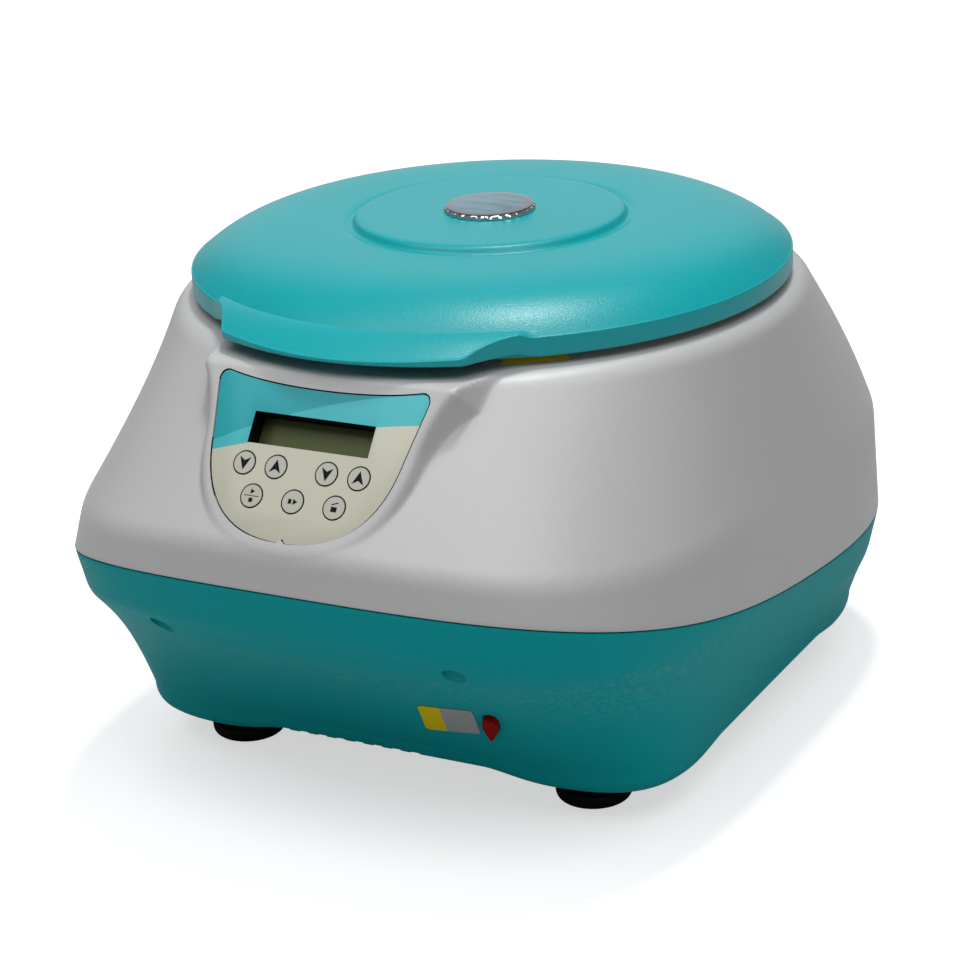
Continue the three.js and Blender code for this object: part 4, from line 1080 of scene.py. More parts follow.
@dataclass
class UpperHousing:
    """The pearl moulding with its raised control pad, rear hump and openings."""

    form: BodyForm = BodyForm()
    panel: PanelPlane = PanelPlane()
    slope_bulge: float = 5.0
    crease_round: float = 6.5
    edge_round: float = 0.8
    pad_top_half: float = 67.0
    pad_waist_half: float = 57.5
    pad_middle_half: float = 56.0
    pad_middle_drop: float = 35.0
    pad_waist_drop: float = 14.0
    pad_bottom_drop: float = 87.3
    pad_top_rise: float = 26.0
    pad_bottom_share: float = 0.61
    pad_side_share: float = 0.95
    pad_rise_share: float = 0.4
    pad_edge_round: float = 4.2
    side_slope_share: float = 2.4
    fillet: float = 3.0
    pad_reach: float = 60.0
    pocket_reach: float = 12.0
    pocket_chamfer: float = 0.2
    pocket_edge: float = 0.5
    tool_clearance: float = 5.0
    hump_front: float = 60.0
    hump_half: float = 52.0
    hump_top: float = 180.5
    hump_bottom: float = 186.0
    hump_round: float = 5.0
    display_half: float = 32.0
    display_top: float = 18.7
    display_bottom: float = 34.5
    display_depth: float = 20.0
    display_front: float = 2.0
    slot_half: float = 12.0
    slot_front: float = 150.0
    slot_rear: float = 139.0
    slot_depth: float = 8.0
    slot_rise: float = 4.0
    rear_half: float = 74.0
    rear_low: float = 89.0
    rear_high: float = 125.0
    rear_seat: float = 183.2
    rear_reach: float = 200.0
    outer_rows: int = field(default=0, init=False)
    shoulder_row: int = field(default=0, init=False)
    pocket: np.ndarray = field(default_factory=lambda: np.zeros((0, 2)), init=False)

    def profile(self, angle: np.ndarray) -> np.ndarray:
        """The section at each angle, up the outside and down the inside."""
        form = self.form
        sine = np.sin(angle)
        edge = form.split.reach(angle)
        low = pair(edge, form.split_height(edge * sine) + form.split_gap / 2)
        fold_radius = form.crease.reach(angle)
        fold = pair(fold_radius, form.crease_height(fold_radius * sine))
        level = np.ones_like(angle)
        shoulder = pair(form.shoulder_radius * level, form.deck_height)
        inner = shoulder - (2 * form.shoulder_round, 0)
        rear_share = ((1 + sine) / 2)[:, None]
        swell = (fold + shoulder) / 2 + (self.slope_bulge, 0) * rear_share ** 2
        mouth = pair(form.opening_radius * level, form.deck_height)
        fold_start, fold_end = (towards(fold, goal, self.crease_round) for goal in (low, swell))
        shoulder_start = towards(shoulder, swell, form.shoulder_round)
        shoulder_end = towards(shoulder, inner, form.shoulder_round)
        pull = 2 * swell - (fold_end + shoulder_start) / 2
        low_inside = low - (self.edge_round, 0)
        low_outside = low + (0, self.edge_round)
        outside = [
            bend(low_inside, low, low_outside, 3), straight(low_outside, fold_start, 7),
            bend(fold_start, fold, fold_end, 10), bend(fold_end, pull, shoulder_start, 84),
            bend(shoulder_start, shoulder, shoulder_end, 10),
            straight(shoulder_end, mouth + (self.edge_round, 0), 4),
        ]
        deep = mouth - (0, form.wall)
        shoulder_back = shoulder - (form.wall, form.wall)
        swell_back, fold_back, low_back = (place - (form.wall, 0) for place in (swell, fold, low))
        inside = [
            bend(mouth + (self.edge_round, 0), mouth, mouth - (0, self.edge_round), 3),
            straight(mouth - (0, self.edge_round), deep, 2), straight(deep, shoulder_back, 2),
            straight(shoulder_back, swell_back, 3), straight(swell_back, fold_back, 3),
            straight(fold_back, low_back, 3), straight(low_back, low_inside, 1),
        ]
        self.outer_rows = sum(len(rows) for rows in outside)
        self.shoulder_row = sum(len(rows) for rows in outside[:4])
        return np.concatenate(outside + inside)

    def pad_outline(self) -> np.ndarray:
        """The raised pad's outline in the panel's plane."""
        middle = (self.pad_middle_half, -self.pad_middle_drop)
        top = (self.pad_top_half, 0.0)
        bottom = -self.pad_bottom_drop
        handle_height = bottom + (middle[1] - bottom) * self.pad_rise_share
        half = np.concatenate([
            swing((0, bottom), (middle[0] * self.pad_bottom_share, bottom),
                  (middle[0] * self.pad_side_share, handle_height), middle, 28),
            bend(middle, (self.pad_waist_half, -self.pad_waist_drop), top, 16),
            [top, (self.pad_top_half, self.pad_top_rise), (0.0, self.pad_top_rise)],
        ])
        return mirrored(half)

    def with_pad(self, points: np.ndarray) -> np.ndarray:
        """Lifts the front slope to the pad, with a round edge and a fillet where they meet."""
        measured = self.panel.measure(points)
        inside = distance_inside(measured[:, :2], self.pad_outline())
        short = np.clip(self.pad_edge_round - inside, 0, self.pad_edge_round)
        drop = round_fall(short, self.pad_edge_round)
        steep = np.maximum(-inside, 0) * self.side_slope_share
        body = measured[:, 2]
        raised = smooth_max(body, -drop - steep, self.fillet)
        deck = self.form.deck_height - self.panel.top_height - measured[:, 1] * self.panel.upward[2]
        ceiling = deck / self.panel.outward[2]
        limited = -smooth_max(-raised, -ceiling, self.fillet)
        lifted = np.where(raised > body + WELD, np.maximum(limited, body), body)
        placed = self.panel.place(np.column_stack([measured[:, :2], lifted]))
        return np.where(points[:, 1:2] < -self.pad_reach, placed, points)

    def with_hump(self, rings: np.ndarray) -> np.ndarray:
        """Pushes the rear out to the upright block that the hinges stand on.

        Args:
            rings: The outside by level, column and axis.

        Returns:
            The rings, whose deck is stretched evenly from the mouth to the block's edge.
        """
        form = self.form
        points = rings.reshape(-1, 3)
        down = np.clip((form.deck_height - points[:, 2]) / (form.deck_height - form.crease_middle), 0, 1)
        reach = self.hump_top + (self.hump_bottom - self.hump_top) * down
        side = np.maximum(np.abs(points[:, 0]) - self.hump_half + self.hump_round, 0)
        fall = round_fall(np.minimum(side, self.hump_round), self.hump_round)
        past = np.maximum(side - self.hump_round, 0) * self.side_slope_share
        pushed = smooth_max(points[:, 1], reach - fall - past, self.fillet)
        at_rear = (points[:, 1] > self.hump_front) & (points[:, 2] > form.crease_middle)
        gain = np.where(at_rear, pushed - points[:, 1], 0.0).reshape(rings.shape[:2])
        deck = rings[self.shoulder_row:]
        edge = form.shoulder_radius - 2 * form.shoulder_round
        out = (np.hypot(deck[..., 0], deck[..., 1]) - form.opening_radius) / (edge - form.opening_radius)
        gain[self.shoulder_row:] = gain[self.shoulder_row] * np.clip(out, 0, 1)
        result = rings.copy()
        result[..., 1] += gain
        return result

    def painted_shade_walls(self, middles: np.ndarray, normals: np.ndarray) -> np.ndarray:
        """Picks the walls of the overlay's pocket and of the display's opening, which are painted near-black
        as painted shade.
        """
        measured = self.panel.measure(middles)
        half = self.pocket_reach / 2
        sunk = np.abs(measured[:, 2] + half) < half - self.pocket_chamfer
        return sunk & (distance_inside(measured[:, :2], self.pocket) > -self.pocket_chamfer)

    def build(self, overlay: "ControlPanel") -> bpy.types.Object:
        """Makes the housing and cuts its openings.

        Args:
            overlay: The panel whose pocket is cut.

        Returns:
            The housing.
        """
        angle = spread_columns([(-132.0, -48.0, 0.3), (63.0, 78.0, 0.25), (102.0, 117.0, 0.25)], 1.5)
        rings = around(self.profile(angle), angle)
        outer = rings[:self.outer_rows]
        rings[:self.outer_rows] = self.with_hump(self.with_pad(outer.reshape(-1, 3)).reshape(outer.shape))
        piece = loft("upper_shell", framed(rings), closed=True)
        self.pocket = overlay.outline(0.0)
        pocket = prism("pocket", self.pocket, -overlay.pocket_depth, self.tool_clearance, self.panel.place)
        rounded(pocket, self.pocket_edge, 2)
        carve(piece, [pocket])
        half, deck = self.display_half, self.form.deck_height
        carve(piece, [
            prism("window", rectangle(-half, half, -self.display_bottom, -self.display_top),
                  -self.display_depth, self.display_front, self.panel.place),
            block("slot", (-self.slot_half, -self.slot_front, deck - self.slot_depth),
                  (self.slot_half, -self.slot_rear, deck + self.slot_rise)),
            block("recess", (-self.rear_half, self.rear_seat, self.rear_low),
                  (self.rear_half, self.rear_reach, self.rear_high)),
        ])
        return smoothed(piece, 32)


# Lower housing


@dataclass
class LowerHousing:
    """The turquoise tub: a band under the split line and a wall that leans in to the base."""

    form: BodyForm = BodyForm()
    band_inset: float = 5.0
    band_height: float = 21.0
    band_round: float = 5.0
    undercut_share: float = 0.42
    undercut_rise_share: float = 0.49
    base_height: float = 22.4
    foot_drop: float = 5.4
    base_round: float = 9.0
    corner_round: float = 4.0
    corner_start: float = 0.7
    corner_end: float = 0.95
    lip_height: float = 5.0
    lip_wall: float = 2.4
    lip_slack: float = 1.2
    lip_lean: float = 2.0
    edge_round: float = 0.8
    rim_inset: float = 0.3
    floor_share: float = 0.62
    plateau_share: float = 0.5
    opening_half: float = 78.0
    opening_reach: float = 100.0
    seat_top: float = 26.2
    tool_clearance: float = 8.0
    plug_gap: float = 0.4
    plug_reach: float = 14.0
    screw_side: float = 78.0
    screw_front: float = 200.5
    screw_rear: float = 150.0
    screw_bore: float = 5.5
    front_bore_top: float = 111.0
    rear_bore_top: float = 62.0
    notch_count: int = 8
    notch_pitch: float = 10.4
    notch_width: float = 6.3
    notch_depth: float = 9.0
    notch_rise: float = 2.6
    notch_front: float = 4.0
    notch_start: float = -56.5

    def wall_curve(self, angle: np.ndarray, inset: float) -> tuple[np.ndarray, ...]:
        """The foot, pull point and band corner of the leaning wall, its floor and its rounding."""
        form = self.form
        edge = form.split.reach(angle) - self.band_inset
        band = pair(edge - inset, form.split_height(edge * np.sin(angle)) - self.band_height + inset)
        corner = smooth_step(np.abs(np.sin(2 * angle)), self.corner_start, self.corner_end)
        floor = self.base_height - self.foot_drop * corner + inset
        rounding = self.base_round + self.corner_round * corner
        foot = pair(form.base.reach(angle) - inset, floor + rounding)
        pull = foot + (band - foot) * (self.undercut_share, self.undercut_rise_share)
        return foot, pull, band, floor, rounding

    def profile(self, angle: np.ndarray) -> np.ndarray:
        """The section at each angle, from the outer floor round to the inner floor."""
        form = self.form
        foot, pull, band, floor, rounding = self.wall_curve(angle, 0.0)
        heel = pair(foot[:, 0] - rounding, floor)
        toe = pair(foot[:, 0], floor)
        flat = heel * (self.floor_share, 1.0)
        raised = pair(heel[:, 0] * self.plateau_share, self.base_height)
        edge = form.split.reach(angle)
        sine = np.sin(angle)
        rim = pair(edge - self.rim_inset, form.split_height(edge * sine) - form.split_gap / 2)
        band_foot, band_top = towards(band, pull, self.band_round), towards(band, rim, self.band_round)
        lip_edge = edge - form.wall - self.lip_slack
        lip_root = pair(lip_edge, form.split_height(lip_edge * sine) - form.split_gap / 2)
        lip_top = lip_root + (-self.lip_lean, self.lip_height)
        lip_back = lip_top - (self.lip_wall, 0)
        inner_foot, inner_pull, inner_band, _, inner_round = self.wall_curve(angle, form.wall)
        inner_root = lip_root - (self.lip_wall, 2 * self.lip_wall)
        inner_floor = pair(inner_foot[:, 0] - inner_round, self.seat_top)
        rim_low, rim_in = rim - (0, self.edge_round), rim - (self.edge_round, 0)
        return np.concatenate([
            straight(raised, flat, 2), straight(flat, heel, 4), bend(heel, toe, foot, 8),
            bend(foot, pull, band_foot, 34), bend(band_foot, band, band_top, 8),
            straight(band_top, rim_low, 6), bend(rim_low, rim, rim_in, 3), [rim_in],
            [lip_root, lip_top, lip_back, inner_root], bend(inner_band, inner_pull, inner_foot, 10),
            [inner_foot, inner_floor, inner_floor * (self.plateau_share, 1.0)],
        ])

    def wall_point(self, angle: float, height: float) -> tuple[np.ndarray, np.ndarray]:
        """A point of the leaning wall and the direction out of it.

        Args:
            angle: The direction from the axis, in radians.
            height: The height above the bench.

        Returns:
            The point and the unit normal, in the axis frame.
        """
        step = np.array([-1.0, 0.0, 1.0])
        sides, levels = angle + 0.01 * step, height + step
        foot, pull, band, _, _ = self.wall_curve(sides, 0.0)
        curve = parabola(foot, pull, band, np.linspace(0, 1, 200)[:, None, None])
        radius = np.array([[np.interp(level, curve[:, side, 1], curve[:, side, 0]) for side in range(3)]
                           for level in levels])
        points = around(pair(radius, levels[:, None]), sides)
        across, upward = points[1, 2] - points[1, 0], points[2, 1] - points[0, 1]
        normal = np.cross(across, upward)
        return points[1, 1], normal / np.linalg.norm(normal)

    def build(self, plug: "ReleasePlug") -> bpy.types.Object:
        """Makes the tub and cuts its bores, vents and openings.

        Args:
            plug: The plug whose hole is cut.

        Returns:
            The tub.
        """
        angle = spread_columns([], 1.25)
        piece = loft("lower_shell", framed(around(self.profile(angle), angle)))
        tools = [block("floor", (-self.opening_half, -self.opening_reach, 0.0),
                       (self.opening_half, self.opening_reach, self.seat_top + self.tool_clearance))]
        bores = ((-self.screw_front, self.front_bore_top), (self.screw_rear, self.rear_bore_top))
        for side in (-self.screw_side, self.screw_side):
            for reach, top in bores:
                section = [(0, 0), (self.screw_bore, 0), (self.screw_bore, top), (0, top)]
                tools.append(turned("bore", section, 40, centre=(side, reach)))
        front = -self.form.base.front
        for left in self.notch_start + np.arange(self.notch_count) * self.notch_pitch:
            tools.append(block("notch", (left, front - self.notch_front, 0.0),
                               (left + self.notch_width, front + self.notch_depth,
                                self.base_height + self.notch_rise)))
        tools.append(plug.solid("plug_hole", self.plug_gap, self.plug_reach))
        carve(piece, tools)
        return smoothed(piece, 32)


@dataclass
class ReleasePlug:
    """The red teardrop plug of the emergency release, in the front of the tub."""

    tub: LowerHousing = field(default_factory=LowerHousing)
    outward: Place = (0.0401, -0.7725, -0.6337)
    angle: float = math.radians(-65.1)
    rise: float = 60.8
    half: float = 3.8
    upper: float = 10.0
    lower: float = 16.0
    outside: float = 3.0
    inside: float = 9.0
    face_round: float = 1.1

    def axes(self) -> tuple[np.ndarray, np.ndarray, np.ndarray, np.ndarray]:
        """The plug's middle and its directions across, up and out."""
        spot, _ = self.tub.wall_point(self.angle, self.rise)
        outward = np.array(self.outward)
        across = np.array([-math.sin(self.angle), math.cos(self.angle), 0.0])
        across -= outward * (across @ outward)
        across /= np.linalg.norm(across)
        return spot, across, np.cross(outward, across), outward

    def outline(self, clearance: float) -> np.ndarray:
        """The teardrop, point down."""
        half, upper, lower = self.half + clearance, self.upper + clearance, self.lower + clearance
        right = np.concatenate([
            bend((0.0, -lower), (half, -self.lower / 3), (half, 0.0), 12),
            bend((half, 0.0), (half, upper), (0.0, upper), 12), [(0.0, upper)]])
        return mirrored(right)

    def solid(self, name: str, clearance: float, front: float) -> bpy.types.Object:
        """The teardrop as a solid through the wall.

        Args:
            name: The piece's name.
            clearance: How much larger its outline is than the plug's.
            front: How far it stands out of the wall.

        Returns:
            The solid.
        """
        spot, across, upward, outward = self.axes()
        turn = np.array([across, upward, outward])
        return prism(name, self.outline(clearance), -self.inside, front, lambda points: spot + points @ turn)

    def build(self) -> bpy.types.Object:
        """Makes the plug with a domed face."""
        piece = self.solid("release_plug_red", 0.0, self.outside)
        rounded(piece, self.face_round, 4, 50)
        return smoothed(piece, 40)


# Lid


@dataclass
class Lid:
    """The domed lid with its plateau, rim and grip lip, and its liner."""

    radius: float = 150.0
    wall: float = 2.5
    rim_bottom: float = 227.8
    rim_top: float = 236.8
    plateau_height: float = 257.9
    plateau_radius: float = 65.9
    plateau_foot: float = 71.0
    plateau_step: float = 2.6
    plateau_brow: float = 3.5
    plateau_chamfer: float = 1.2
    groove_depth: float = 1.4
    groove_width: float = 4.6
    dome_share: float = 3.9
    window_hole: float = 19.6
    lip_front: float = 168.5
    lip_corner_half: float = 64.5
    lip_corner_reach: float = 152.5
    lip_root_half: float = 92.0
    lip_root_reach: float = 118.5
    lip_scoop_half: float = 71.5
    lip_scoop_reach: float = 133.5
    lip_bottom: float = 230.0
    lip_nose: float = 231.6
    lip_top: float = 240.3
    lip_fold_inset: float = 2.5
    lip_curve_share: float = 1.4
    lip_edge_round: float = 0.8
    lip_fade: float = 1.6
    fold_round: float = 0.7
    liner_radius: float = 147.2
    liner_bottom: float = 228.9
    liner_thick: float = 2.2
    liner_hole: float = 20.2
    rib_inner: float = 128.2
    rib_outer: float = 132.0
    rib_bottom: float = 227.3

    def dome(self, radius: np.ndarray) -> np.ndarray:
        """The height of the dome outside the plateau."""
        share = np.clip((radius - self.plateau_foot) / (self.radius - self.plateau_foot), 0, 1)
        crown = self.plateau_height - self.plateau_step - self.rim_top
        return self.rim_top + crown * (1 - share ** self.dome_share)

    def edge(self, angle: np.ndarray) -> np.ndarray:
        """How far the lid reaches at each angle, its grip lip included."""
        corner = (self.lip_corner_half, -self.lip_corner_reach)
        points = np.concatenate([
            bend((0.0, -self.lip_front), (self.lip_corner_half / 2, -self.lip_front), corner, 60),
            bend(corner, (self.lip_scoop_half, -self.lip_scoop_reach),
                 (self.lip_root_half, -self.lip_root_reach), 60)])
        turn = np.degrees(np.arctan2(points[:, 0], -points[:, 1]))
        away = np.abs(np.degrees(np.arctan2(np.cos(angle), -np.sin(angle))))
        offsets = np.linspace(-0.9, 0.9, 7)
        reach = [np.interp(away + offset, turn, np.hypot(points[:, 0], points[:, 1]), right=0.0)
                 for offset in offsets]
        return np.maximum(np.mean(reach, axis=0), self.radius)

    def lip(self, radius: np.ndarray) -> np.ndarray:
        """The height of the grip lip's top, which falls in a shallow curve to its nose."""
        fold = self.radius - self.lip_fold_inset
        share = np.clip((radius - fold) / (self.lip_front - fold), 0, 1)
        return self.lip_top + (self.lip_nose - self.lip_top) * share ** self.lip_curve_share

    def profile(self, angle: np.ndarray) -> np.ndarray:
        """The section at each angle, out over the top and back under it."""
        level = np.ones_like(angle)

        def point(radius: float, height: float) -> np.ndarray:
            """The same point at every angle."""
            return pair(radius * level, height)

        edge = self.edge(angle)
        grip = smooth_step(edge, self.radius, self.radius + self.lip_fade)
        fold = self.radius - self.lip_fold_inset
        high, step = self.plateau_height, self.plateau_radius
        foot = high - self.plateau_step
        groove = foot - self.groove_depth
        inner, outer = self.plateau_foot - self.lip_fold_inset, self.plateau_foot + self.groove_width
        chamfer = self.plateau_chamfer
        brow = point(step - self.plateau_brow, high)
        slope = point(step + chamfer, high - chamfer)
        bed = point(inner + chamfer, groove)
        wall = point(self.plateau_foot + 1.0, (groove + foot) / 2)
        rows = [
            [point(self.window_hole, high)], straight(point(30, high), brow, 3),
            bend(brow, point(step - 0.3, high), slope, 5), bend(slope, point(inner, groove), bed, 5),
            bend(bed, point(self.plateau_foot, groove), wall, 4),
            bend(wall, point(outer - chamfer, foot), point(outer, self.dome(outer)), 4),
        ]
        near_fold = fold - self.fold_round
        spread = np.sin(np.linspace(0, math.pi / 2, 34, endpoint=False))
        rows += [[point(radius, self.dome(radius))] for radius in outer + (near_fold - outer) * spread]
        low_fold, high_fold = point(near_fold, self.dome(near_fold)), point(fold, self.dome(fold))
        lip_fold = point(fold, self.lip_top)
        crease = high_fold + (lip_fold - high_fold) * grip[:, None]
        bent = pair(0.5 + 0.5 * grip, 0.5 - 0.3 * grip)
        rows += [bend(low_fold, low_fold + (crease - low_fold) * bent, crease, 3)]
        last = edge - self.lip_edge_round
        for share in np.linspace(0, 1, 18):
            radius = fold + (last - fold) * share
            plain = self.dome(np.minimum(radius, self.radius))
            height = plain + (self.lip(radius) - plain) * grip
            rows.append([pair(radius, height)])
        brink = rows[-1][0]
        top_edge = pair(edge, brink[:, 1] - self.lip_edge_round)
        bottom = self.rim_bottom + (self.lip_bottom - self.rim_bottom) * grip
        low_edge = pair(edge, np.minimum(bottom + self.lip_edge_round, top_edge[:, 1] - 0.1))
        low_corner = pair(edge, bottom)
        under_edge = low_corner - (self.lip_edge_round, 0)
        rim_foot = pair(self.radius - 1.0, bottom)
        rim_low = point(self.radius - 1.2, self.rim_bottom)
        rim_inner = point(self.radius - self.wall, self.rim_bottom)
        rows += [bend(brink, pair(edge, brink[:, 1]), top_edge, 4)[1:], straight(top_edge, low_edge, 3),
                 bend(low_edge, low_corner, under_edge, 3), straight(under_edge, rim_foot, 2),
                 [rim_foot, rim_low, rim_inner]]
        reach = self.radius - self.wall - self.plateau_foot
        for share in np.sin(np.linspace(math.pi / 2, 0, 14)):
            radius = self.plateau_foot + reach * share
            height = self.dome(radius * self.radius / (self.radius - self.wall)) - self.wall
            rows.append([point(radius, height)])
        rows.append([point(step, high - self.wall), point(self.window_hole, high - self.wall)])
        return np.concatenate(rows)

    def build_shell(self) -> bpy.types.Object:
        """Makes the lid itself."""
        angle = spread_columns([(-128.0, -110.0, 0.35), (-110.0, -70.0, 0.8), (-70.0, -52.0, 0.35)], 1.5)
        return smoothed(loft("lid_dome", framed(around(self.profile(angle), angle)), closed=True), 38)

    def build_liner(self) -> bpy.types.Object:
        """Makes the inner liner with its rib."""
        low, high = self.liner_bottom, self.liner_bottom + self.liner_thick
        profile = softened([
            (self.liner_hole, low), (self.rib_inner, low), (self.rib_inner, self.rib_bottom),
            (self.rib_outer, self.rib_bottom), (self.rib_outer, low), (self.liner_radius, low),
            (self.liner_radius, high), (self.liner_hole, high)], 0.5, 3)
        return smoothed(turned("lid_inner_liner", profile, 160, True))


@dataclass
class Window:
    """The viewing window: a fluted bright ring under the flange of a domed, milky lens."""

    hole: float = 19.6
    fit: float = 0.3
    outer: float = 23.0
    rise: float = 1.9
    sleeve: float = 1.8
    seat: float = 258.2
    bottom: float = 228.9
    lens_bottom: float = 257.9
    lens_rise: float = 4.1
    flange: float = 21.6
    flutes: int = 26
    flute_depth: float = 0.8
    edge_height: float = 0.6
    edge_inset: float = 0.5
    edge_drop: float = 0.4
    dome_share: float = 0.8

    def build_ring(self) -> bpy.types.Object:
        """Makes the ring, its outer skirt cut into small flutes."""
        outer = self.hole - self.fit
        inner = outer - self.sleeve
        seat, top = self.seat, self.seat + self.rise
        profile = [
            (inner, self.bottom), (outer, self.bottom), (outer, seat), (self.outer, seat),
            (self.outer, seat + self.edge_height), (self.outer - self.edge_inset, top - self.edge_drop),
            (self.flange, top), (inner, top)]
        sides = self.flutes * 8
        wave = self.flute_depth * (1 - np.abs(np.sin(circle(sides) * self.flutes / 2)))
        piece = turned("window_bright_ring", profile, sides, True, wave=wave, wave_from=self.flange)
        return smoothed(piece, 28)

    def build_lens(self) -> bpy.types.Object:
        """Makes the lens, whose flange lies on the ring."""
        inner = self.hole - self.sleeve - 2 * self.fit
        seat = self.seat + self.rise + self.fit / 3
        high = self.lens_bottom + self.lens_rise
        flange = self.flange
        dome = bend((flange, seat + self.edge_height), (flange * self.dome_share, high), (0.0, high), 14)
        profile = [(0, self.lens_bottom), (inner, self.lens_bottom), (inner, seat), (flange, seat), *dome,
                   (0, high)]
        return smoothed(turned("window_clear_lens", profile), 25)


# Control panel


@dataclass
class ControlPanel:
    """The overlay in its pocket and the seven keys with their printed signs."""

    panel: PanelPlane = PanelPlane()
    top_half: float = 51.0
    shoulder_half: float = 55.5
    middle_half: float = 50.5
    top_middle_drop: float = 5.3
    shoulder_rise: float = 0.6
    shoulder_drop: float = 6.0
    middle_drop: float = 34.0
    bottom_drop: float = 79.3
    thick: float = 1.2
    pocket_depth: float = 1.8
    glue: float = 0.3
    gap: float = 0.45
    edge_round: float = 0.18
    cut_depth: float = 5.0
    cut_front: float = 2.0
    facing_share: float = 0.93
    notch_half: float = 1.6
    notch_rise: float = 1.8
    bottom_share: float = 0.78
    side_share: float = 0.95
    side_drop_share: float = 0.66
    top_share: float = 0.6
    display_half: float = 31.7
    display_top: float = 19.0
    display_bottom: float = 34.2
    key_radius: float = 5.7
    key_hole: float = 5.95
    key_thick: float = 1.0
    key_face: float = -0.1
    stem_radius: float = 1.6
    stem_length: float = 7.3
    key_chamfer: float = 0.1
    ring_inset: float = 0.12
    ring_width: float = 0.3
    ink_thick: float = 0.05
    upper_row: float = 44.0
    lower_row: float = 59.0
    disc_sides: int = 48

    def outline(self, inset: float) -> np.ndarray:
        """The overlay's outline in the panel's plane.

        Args:
            inset: How much smaller it is than its pocket.

        Returns:
            The closed outline.
        """
        bottom = -self.bottom_drop + inset
        side = self.middle_half - inset
        shoulder = self.shoulder_half - inset
        rise = -self.shoulder_rise - inset
        waist = (side, -self.middle_drop)
        low_corner = (shoulder, -self.shoulder_drop)
        high_corner = (self.top_half - inset, rise)
        top = (0.0, -self.top_middle_drop - inset)
        half = np.concatenate([
            [(0.0, bottom + self.notch_rise)],
            swing((self.notch_half, bottom), (side * self.bottom_share, bottom),
                  (side * self.side_share, bottom * self.side_drop_share), waist, 26),
            straight(waist, low_corner, 4), bend(low_corner, (shoulder, rise), high_corner, 9),
            bend(high_corner, (self.top_half * self.top_share, top[1]), top, 14), [top],
        ])
        return mirrored(half)

    def disc(self, name: str, across: float, drop: float, profile: Sequence[Sequence[float]],
             closed: bool = False) -> bpy.types.Object:
        """A round piece at a place across and down the panel, from points of radius and depth."""
        return turned(name, profile, self.disc_sides, closed, (across, -drop), self.panel.place)

    def build_overlay(self) -> bpy.types.Object:
        """Makes the overlay with its openings."""
        back = -self.pocket_depth + self.glue
        piece = prism("printed_overlay", self.outline(self.gap), back, back + self.thick, self.panel.place)
        rounded(piece, self.edge_round, 2, 60)
        low, high = -self.cut_depth, self.cut_front
        window = rectangle(-self.display_half, self.display_half, -self.display_bottom, -self.display_top)
        tools = [prism("window", window, low, high, self.panel.place)]
        for key in KEYS:
            tools.append(self.disc("hole", key.across, self.row(key), [
                (0, low), (self.key_hole, low), (self.key_hole, high), (0, high)]))
        carve(piece, tools)
        return smoothed(piece)

    def painted_shade_edges(self, middles: np.ndarray, normals: np.ndarray) -> np.ndarray:
        """Picks the faces that don't look straight out of the panel, which take the dark ink as painted shade
        in the gaps.
        """
        return normals @ self.panel.outward < self.facing_share

    def row(self, key: "Key") -> float:
        """How far down the panel a key's row lies."""
        return self.upper_row if key.upper else self.lower_row

    def build_key(self, key: "Key") -> bpy.types.Object:
        """Makes a key with its stem."""
        face, back = self.key_face, self.key_face - self.key_thick
        profile = [(0, back - self.stem_length), (self.stem_radius, back - self.stem_length),
                   (self.stem_radius, back), (self.key_radius, back),
                   (self.key_radius, face - self.key_chamfer), (self.key_radius - self.key_chamfer, face),
                   (0, face)]
        return smoothed(self.disc(f"{key.node}_cap", key.across, self.row(key), profile))

    def build_sign(self, key: "Key") -> bpy.types.Object:
        """Prints a key's outline ring and its sign."""
        low, high = self.key_face - self.ink_thick, self.key_face + self.ink_thick
        outer = self.key_radius - self.ring_inset
        inner = outer - self.ring_width
        ring = self.disc(f"{key.node}_print", key.across, self.row(key), [
            (inner, low), (outer, low), (outer, high), (inner, high)], closed=True)
        marks = [ring]
        for shape in key.sign.value:
            outline = np.array(shape, dtype=float) + (key.across, -self.row(key))
            marks.append(prism("mark", outline, low, high, self.panel.place))
        pick(*marks)
        bpy.ops.object.join()
        rest()
        return ring


class Sign(Enum):
    """The signs on the keys, as flat outlines about the key's middle."""

    DOWN = (((0.0, -3.5), (3.0, 2.9), (0.0, 1.1), (-3.0, 2.9)),)
    UP = (((0.0, 3.5), (-3.0, -2.9), (0.0, -1.1), (3.0, -2.9)),)
    START_STOP = (
        ((-3.9, -0.16), (3.9, -0.16), (3.9, 0.16), (-3.9, 0.16)),
        ((-0.9, 0.9), (1.3, 2.1), (-0.9, 3.3)),
        ((-1.0, -3.0), (1.0, -3.0), (1.0, -1.0), (-1.0, -1.0)),
    )
    PULSE = (
        ((-2.3, -1.1), (-0.6, -1.1), (-0.6, 1.1), (-2.3, 1.1)),
        ((0.2, -1.4), (2.6, 0.0), (0.2, 1.4)),
    )
    LID_OPEN = (
        ((-1.5, -2.0), (1.5, -2.0), (1.5, 0.4), (-1.5, 0.4)),
        ((-1.6, 1.0), (1.7, 2.3), (1.5, 2.8), (-1.7, 1.5)),
    )


@dataclass(frozen=True)
class Key:
    """One key: its node, its place across the panel, its row and its sign."""

    node: str
    across: float
    upper: bool
    sign: Sign


KEYS = (
    Key("key_time_down", -30.1, True, Sign.DOWN),
    Key("key_time_up", -13.3, True, Sign.UP),
    Key("key_speed_down", 13.3, True, Sign.DOWN),
    Key("key_speed_up", 30.1, True, Sign.UP),
    Key("key_start_stop", -21.7, False, Sign.START_STOP),
    Key("key_pulse", 0.0, False, Sign.PULSE),
    Key("key_lid_open", 21.7, False, Sign.LID_OPEN),
)


# Chamber and rotor


